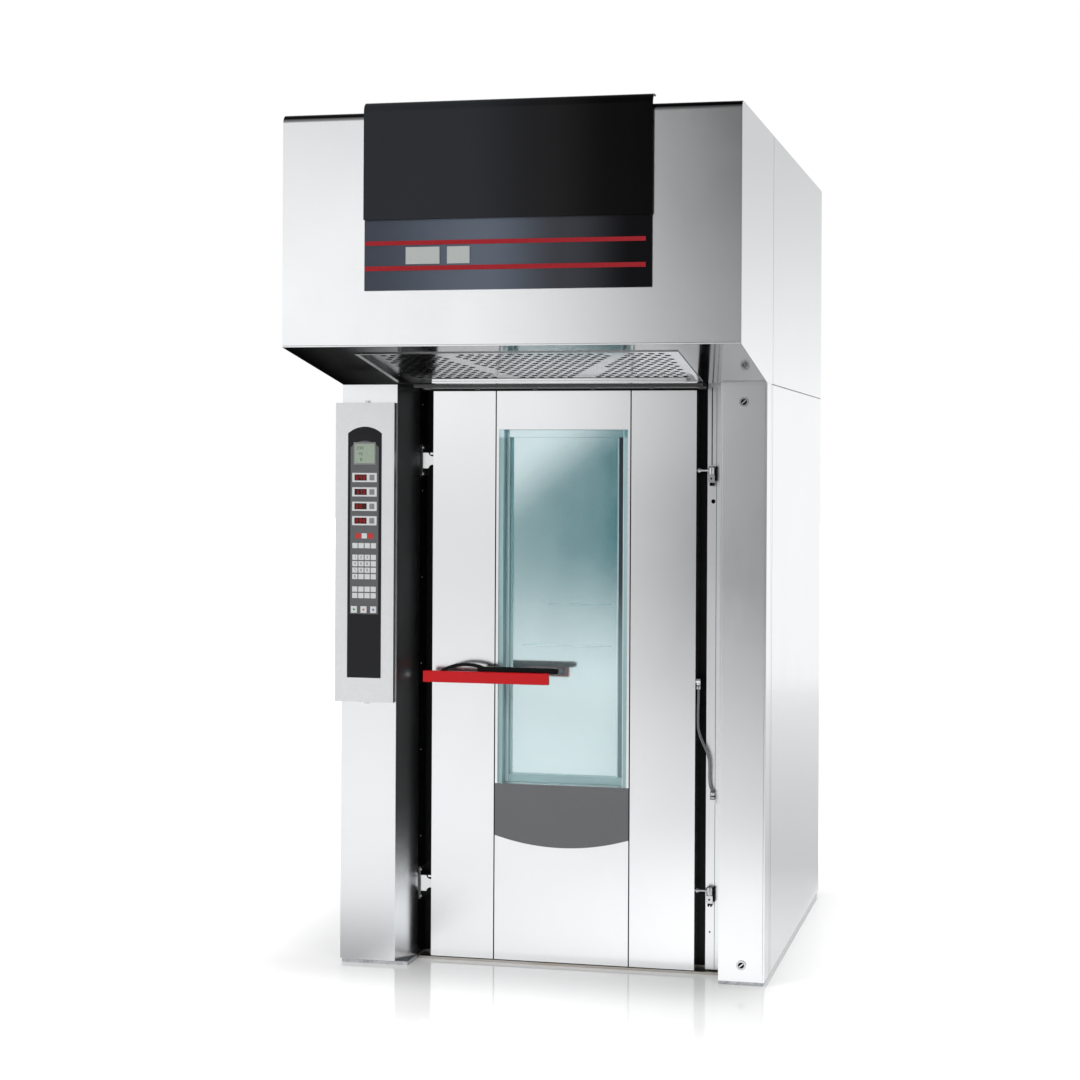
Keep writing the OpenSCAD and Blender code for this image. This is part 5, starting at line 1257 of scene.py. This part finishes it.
def make_lock(node):
    """A quarter-turn lock with its rim in the cover and its well as painted shade, and its key bar."""
    with_soft_corners(node + "_turned", node, 0.4, TURNED, limit=40.0)
    across, deep, upward = spans(node)
    x, front, z = middle(across), deep[0], middle(upward)
    # The rim and the well are discs of painted shade round and in the lock.
    rim = turned(node + "_rim", [(0.0, 0.0), (17.5, 0.0), (17.5, 0.6), (16.5, 0.9), (0.0, 0.9)],
                 at(x, -0.1, z), "-Y")
    add_part("cabinet", "seal_rubber", PAINTED_SHADE_DARK, rim)
    well = turned(node + "_well", peg(9.5, 0.3), at(x, front + 0.05, z), "-Y")
    add_part(BODY_OF[node], "bright_steel", PAINTED_SHADE_DARK, well)
    bar = slab(node + "_bar", (x - 8.0, x + 8.0), (front - 0.7, front - 0.2), (z - 1.7, z + 1.7), 0.2)
    heart = at(x, 0.0, z)
    bar.data.transform(Matrix.Translation(heart) @ Matrix.Rotation(math.radians(LOCK_TILT), 4, "Y")
                       @ Matrix.Translation(-heart))
    add_part(BODY_OF[node], "bright_steel", BRIGHT, bar)


def make_jamb_screws():
    """The row of screws down the left jamb's plate."""
    heads = [turned(f"jamb_screw_{i}", JAMB_SCREW,
                    at(JAMB_FACE - 0.1, 150.0, JAMB_SCREW_FOOT + JAMB_SCREW_PITCH * i), "X")
             for i in range(JAMB_SCREWS)]
    add_group("jamb_screws", "cabinet", "bright_steel", TURNED, heads)


# ---- control box ----

CTRL_MID = middle(spans("control_box")[0])
KEY_FACE = spans("control_fascia")[1][0]
FOIL_WIDTH, FOIL_HEIGHT, FOIL_RISE = 96.0, 566.0, 22.0
FOIL_FOOT = 1146.0
ARCH_STEPS = 24
TEXT_FOOT = 1634.0
TEXT_ROWS = ("230", "45", "8")
# The width and height of a figure, its stroke's thickness and the gap to the next one.
TEXT_SIZE, PLATE_SIZE, KEY_SIZE = (5, 9, 1.2, 3), (8, 14, 2.2, 4), (4, 8, 1.1, 0)
PLATE_FOOT, PLATE_PITCH = 1436.0, 47.0
PLATE_FIGURES = ("230", "28", "115", "240")
KEY_ROWS = (246, 214, 176, 155, 134, 113, 72, 51)
KEY_PITCH = 21.0
KEY_FIGURES = {2: "123", 3: "456", 4: "789", 5: "0"}
PUSH_KEYS = (("key_start", "start_key", (0.02, 0.2, 0.06)), ("key_stop", "stop_key", (0.45, 0.02, 0.02)),
             ("key_steam", "steam_key", (0.03, 0.1, 0.4)))
PUSH_KEY_PITCH = 33.0
PUSH_KEY_FRONT = spans("key_start")[1][0]
SEVEN_STROKES = {
    "0": "abcdef", "1": "bc", "2": "abged", "3": "abgcd", "4": "fgbc",
    "5": "afgcd", "6": "afgedc", "7": "abc", "8": "abcdefg", "9": "abcdfg",
}


def digit_strips(text, left, low, size):
    """The strokes of plain seven-segment numbers, as (x0, x1, z0, z1) strips."""
    strips = []
    width, height, thick, gap = size
    waist, top = low + height / 2, low + height
    for i, figure in enumerate(text):
        x0 = left + i * (width + gap)
        x1 = x0 + width
        places = {
            "a": (x0, x1, top - thick, top), "d": (x0, x1, low, low + thick),
            "g": (x0, x1, waist - thick / 2, waist + thick / 2),
            "b": (x1 - thick, x1, waist, top), "c": (x1 - thick, x1, low, waist),
            "f": (x0, x0 + thick, waist, top), "e": (x0, x0 + thick, low, waist),
        }
        strips += [places[s] for s in SEVEN_STROKES[figure]]
    return strips


def make_control():
    """The control box with its fascia, foil, displays and keys."""
    with_soft_corners("control_case", "control_box", 2.0, STEEL_CASE, steps=3, limit=60.0)
    with_soft_corners("fascia_plate", "control_fascia", 0.3, FASCIA, limit=60.0)
    sheet = thin_plate("foil_sheet", foil_outline(), KEY_FACE - 0.08, KEY_FACE + 0.3, 0.05)
    add_part("cabinet", "fascia_foil", FOIL, sheet)
    make_displays()
    make_foil_keys()
    make_push_keys()


def foil_outline():
    """The foil's outline of (x, z) points, with straight sides and a low arch at its top."""
    half = FOIL_WIDTH / 2
    radius = (half * half + FOIL_RISE * FOIL_RISE) / (2 * FOIL_RISE)
    reach = math.asin(half / radius)
    heart = FOIL_FOOT + FOIL_HEIGHT - radius
    arch = [(CTRL_MID + radius * math.sin(a), heart + radius * math.cos(a))
            for a in (-reach + 2 * reach * k / ARCH_STEPS for k in range(ARCH_STEPS + 1))]
    return [(CTRL_MID + half, FOIL_FOOT), (CTRL_MID - half, FOIL_FOOT)] + arch


def on_fascia(name, x, z, out, edge, finish):
    """A softened block on the fascia. x is off its middle, and out is in front of its face."""
    return paint(slab(name, (CTRL_MID + x[0], CTRL_MID + x[1]), (KEY_FACE - out[1], KEY_FACE - out[0]),
                      z, edge), finish)


def make_displays():
    """The text window, and the four plates with a number window and a mark each."""
    ink = []
    for row, figures in enumerate(TEXT_ROWS):
        ink += digit_strips(figures, CTRL_MID - 26 + 6 * row, TEXT_FOOT + 50 - 19 * row, TEXT_SIZE)
    rim, glass = (TEXT_FOOT, TEXT_FOOT + 73), (TEXT_FOOT + 5, TEXT_FOOT + 68)
    parts = [on_fascia("text_rim", (-38, 38), rim, (0.0, 1.0), 0.4, KEY_GREY),
             on_fascia("text_glass", (-34, 34), glass, (0.6, 1.2), 0.3, LCD_GREEN),
             paint(strips_piece("text_ink", ink, KEY_FACE - 1.28, KEY_FACE - 1.1), LCD_INK)]
    for i, figures in enumerate(PLATE_FIGURES):
        z = PLATE_FOOT + PLATE_PITCH * i
        digits = strips_piece(f"digits_{i}", digit_strips(figures, CTRL_MID - 29, z + 8, PLATE_SIZE),
                              KEY_FACE - 1.08, KEY_FACE - 0.9)
        parts += [on_fascia(f"plate_{i}", (-42, 42), (z, z + 30), (0.0, 0.8), 0.3, PLATE_PALE),
                  on_fascia(f"window_{i}", (-34, 8), (z + 5, z + 25), (0.5, 1.0), 0.2, COVER),
                  on_fascia(f"mark_{i}", (17, 34), (z + 6, z + 24), (0.5, 1.0), 0.2, KEY_GREY),
                  paint(digits, DIGIT_RED)]
    settle(joined("display_windows", parts), "cabinet", "display_cover", "control_displays")


def key_cap(name, x, z, finish):
    """A foil key with a raised rim and a dished middle."""
    bm = block_mesh((x + 1.5, x + 19.5), (KEY_FACE - 0.6, KEY_FACE), (z + 1, z + 18))
    face = min(bm.faces, key=lambda f: f.calc_center_median().y)
    bmesh.ops.inset_region(bm, faces=[face], thickness=1.4 * MM)
    for v in face.verts:
        v.co.y += 0.2 * MM
    soften(bm, 0.2)
    return paint(to_piece(name, bm), finish)


def make_foil_keys():
    """Three signal keys in the first row, two of them red, and four plain keys in each other row."""
    caps, ink = [], []
    for row, rise in enumerate(KEY_ROWS):
        signal = row == 0
        z = FOIL_FOOT + rise
        for i in range(3 if signal else 4):
            x = CTRL_MID - (31.5 if signal else 42) + KEY_PITCH * i
            finish = KEY_RED if signal and i != 1 else KEY_WHITE
            caps.append(key_cap(f"cap_{row}_{i}", x, z, finish))
            figure = KEY_FIGURES.get(row, "")[i:i + 1]
            ink += digit_strips(figure, x + 8.5, z + 6, KEY_SIZE)
    settle(joined("foil_keys", caps), "cabinet", "key_white", "control_keys")
    marks = strips_piece("key_figures", ink, KEY_FACE - 0.66, KEY_FACE - 0.35)
    add_part("cabinet", "key_white", LCD_INK, marks)


def make_push_keys():
    """The start, stop and steam keys, each with a coloured dot."""
    for i, (node, body, tint) in enumerate(PUSH_KEYS):
        with_soft_corners(node + "_cap", node, 0.5, KEY_WHITE, limit=50.0)
        x = CTRL_MID - 44 + PUSH_KEY_PITCH * i
        dot = slab(node + "_dot", (x + 7.5, x + 13.5), (PUSH_KEY_FRONT - 0.2, PUSH_KEY_FRONT + 0.2),
                   (FOIL_FOOT + 12, FOIL_FOOT + 18), 0.15)
        add_part(body, "key_white", moulded(node + " dot", tint, 0.35, depth=0.00001), dot)


# ---- door leaf and handle ----

# The window's strips stand in two planes: over the lining's flange, and on the inner pane.
FLANGE_Y, PANE_FACE_Y = 164.6, 187.0
LEFT, RIGHT = WINDOW_X
FULL_HEIGHT = (WINDOW_Z[0] + 1.0, WINDOW_Z[1] - 1.0)
HEAD_HEIGHT = (WINDOW_Z[1] - 24.0, WINDOW_Z[1] - 1.0)
INSIDE_FLANGE = (WINDOW_Z[0] + 24.5, WINDOW_Z[1] - 24.5)
# The rails carry painted light, window_gap is painted shade, pane_head carries the pane's painted
# reflection over the flange, and the glints are painted highlights.
WINDOW_STRIPS = (
    ("lamp_rail_outer", (LEFT + 14.3, LEFT + 20.0), FLANGE_Y, FULL_HEIGHT, RAIL_PALE),
    ("lamp_rail_edge", (LEFT + 20.3, LEFT + 23.8), FLANGE_Y, FULL_HEIGHT, RAIL_EDGE),
    ("lamp_rail_inner", (LEFT + 24.3, LEFT + 33.0), PANE_FACE_Y, INSIDE_FLANGE, RAIL_DEEP),
    ("window_gap_edge", (RIGHT - 46.4, RIGHT - 42.7), PANE_FACE_Y, INSIDE_FLANGE, RAIL_EDGE),
    ("window_gap", (RIGHT - 42.4, RIGHT - 24.6), PANE_FACE_Y, INSIDE_FLANGE, RAIL_DARK),
    ("window_post", (RIGHT - 24.0, RIGHT - 14.3), FLANGE_Y, FULL_HEIGHT, RAIL_POST),
    ("pane_head", (LEFT + 24.1, RIGHT - 24.3), FLANGE_Y, HEAD_HEIGHT, INNER_PANE),
    ("rail_glint_low", (LEFT + 66.0, RIGHT - 63.0), PANE_FACE_Y + 0.2, (1040.0, 1043.0), GLINT),
    ("rail_glint_high", (LEFT + 150.0, RIGHT - 63.0), PANE_FACE_Y + 0.2, (1178.5, 1180.0), GLINT_FAINT))


def pane(name, front, back, finish):
    """A pane that fills the window with a little room round it."""
    room = 0.3
    return paint(slab(name, (LEFT + room, RIGHT - room), (front, back),
                      (WINDOW_Z[0] + room, WINDOW_Z[1] - room), 0.6), finish)


def make_leaf():
    """The leaf's sheets and trim, its two panes and what shows between them."""
    with_soft_corners("leaf_sheets", "door_skins", 0.7, STEEL_DOOR, limit=50.0)
    with_soft_corners("trim_plate", "door_trim", 0.5, TRIM, limit=50.0)
    with_soft_corners("window_lining", "window_frame", 0.6, LINING, limit=50.0)
    with_soft_corners("spindle_rose", "door_fittings", 0.5, BRIGHT, limit=50.0)
    outer = pane("outer_pane", PANES_Y[0] + 0.05, PANES_Y[0] + 4.95, CLEAR)
    inner = pane("inner_pane", PANES_Y[1] - 4.95, PANES_Y[1] - 0.05, INNER_PANE)
    settle(joined("window_panes", [outer, inner]), "door", "window_glass", "door_glass")
    for name, across, front, upward, finish in WINDOW_STRIPS:
        add_part("door", "chamber_steel", finish, slab(name, across, (front, front + 1.8), upward, 0.3))


def make_handle():
    """The red grip on its black lever."""
    with_soft_corners("grip_bar", "handle_grip", 2.5, RED, steps=4)
    with_soft_corners("lever_plate", "handle_lever", 1.5, BLACK, steps=3, limit=50.0)


make_cable()
make_cable_ends()
make_hood()
make_columns()
make_control()
make_leaf()
make_hinges()
make_handle()


# ---- solids that keep their own shape ----

OWN_FINISH = {"drip_rail": SHADED_RAIL, "door_core": CORE, "grease_filter": FILTER}


def dress_solids():
    """Each solid gets the finish of its slot, or a finish of its own."""
    for node, slot_name in SLOT_OF.items():
        solid = frame["nodes"][node]
        finish = OWN_FINISH.get(node, SLOT_FINISH[slot_name])
        if not solid.material_slots:
            solid.data.materials.append(finish)
        for slot in solid.material_slots:
            slot.material = finish


dress_solids()
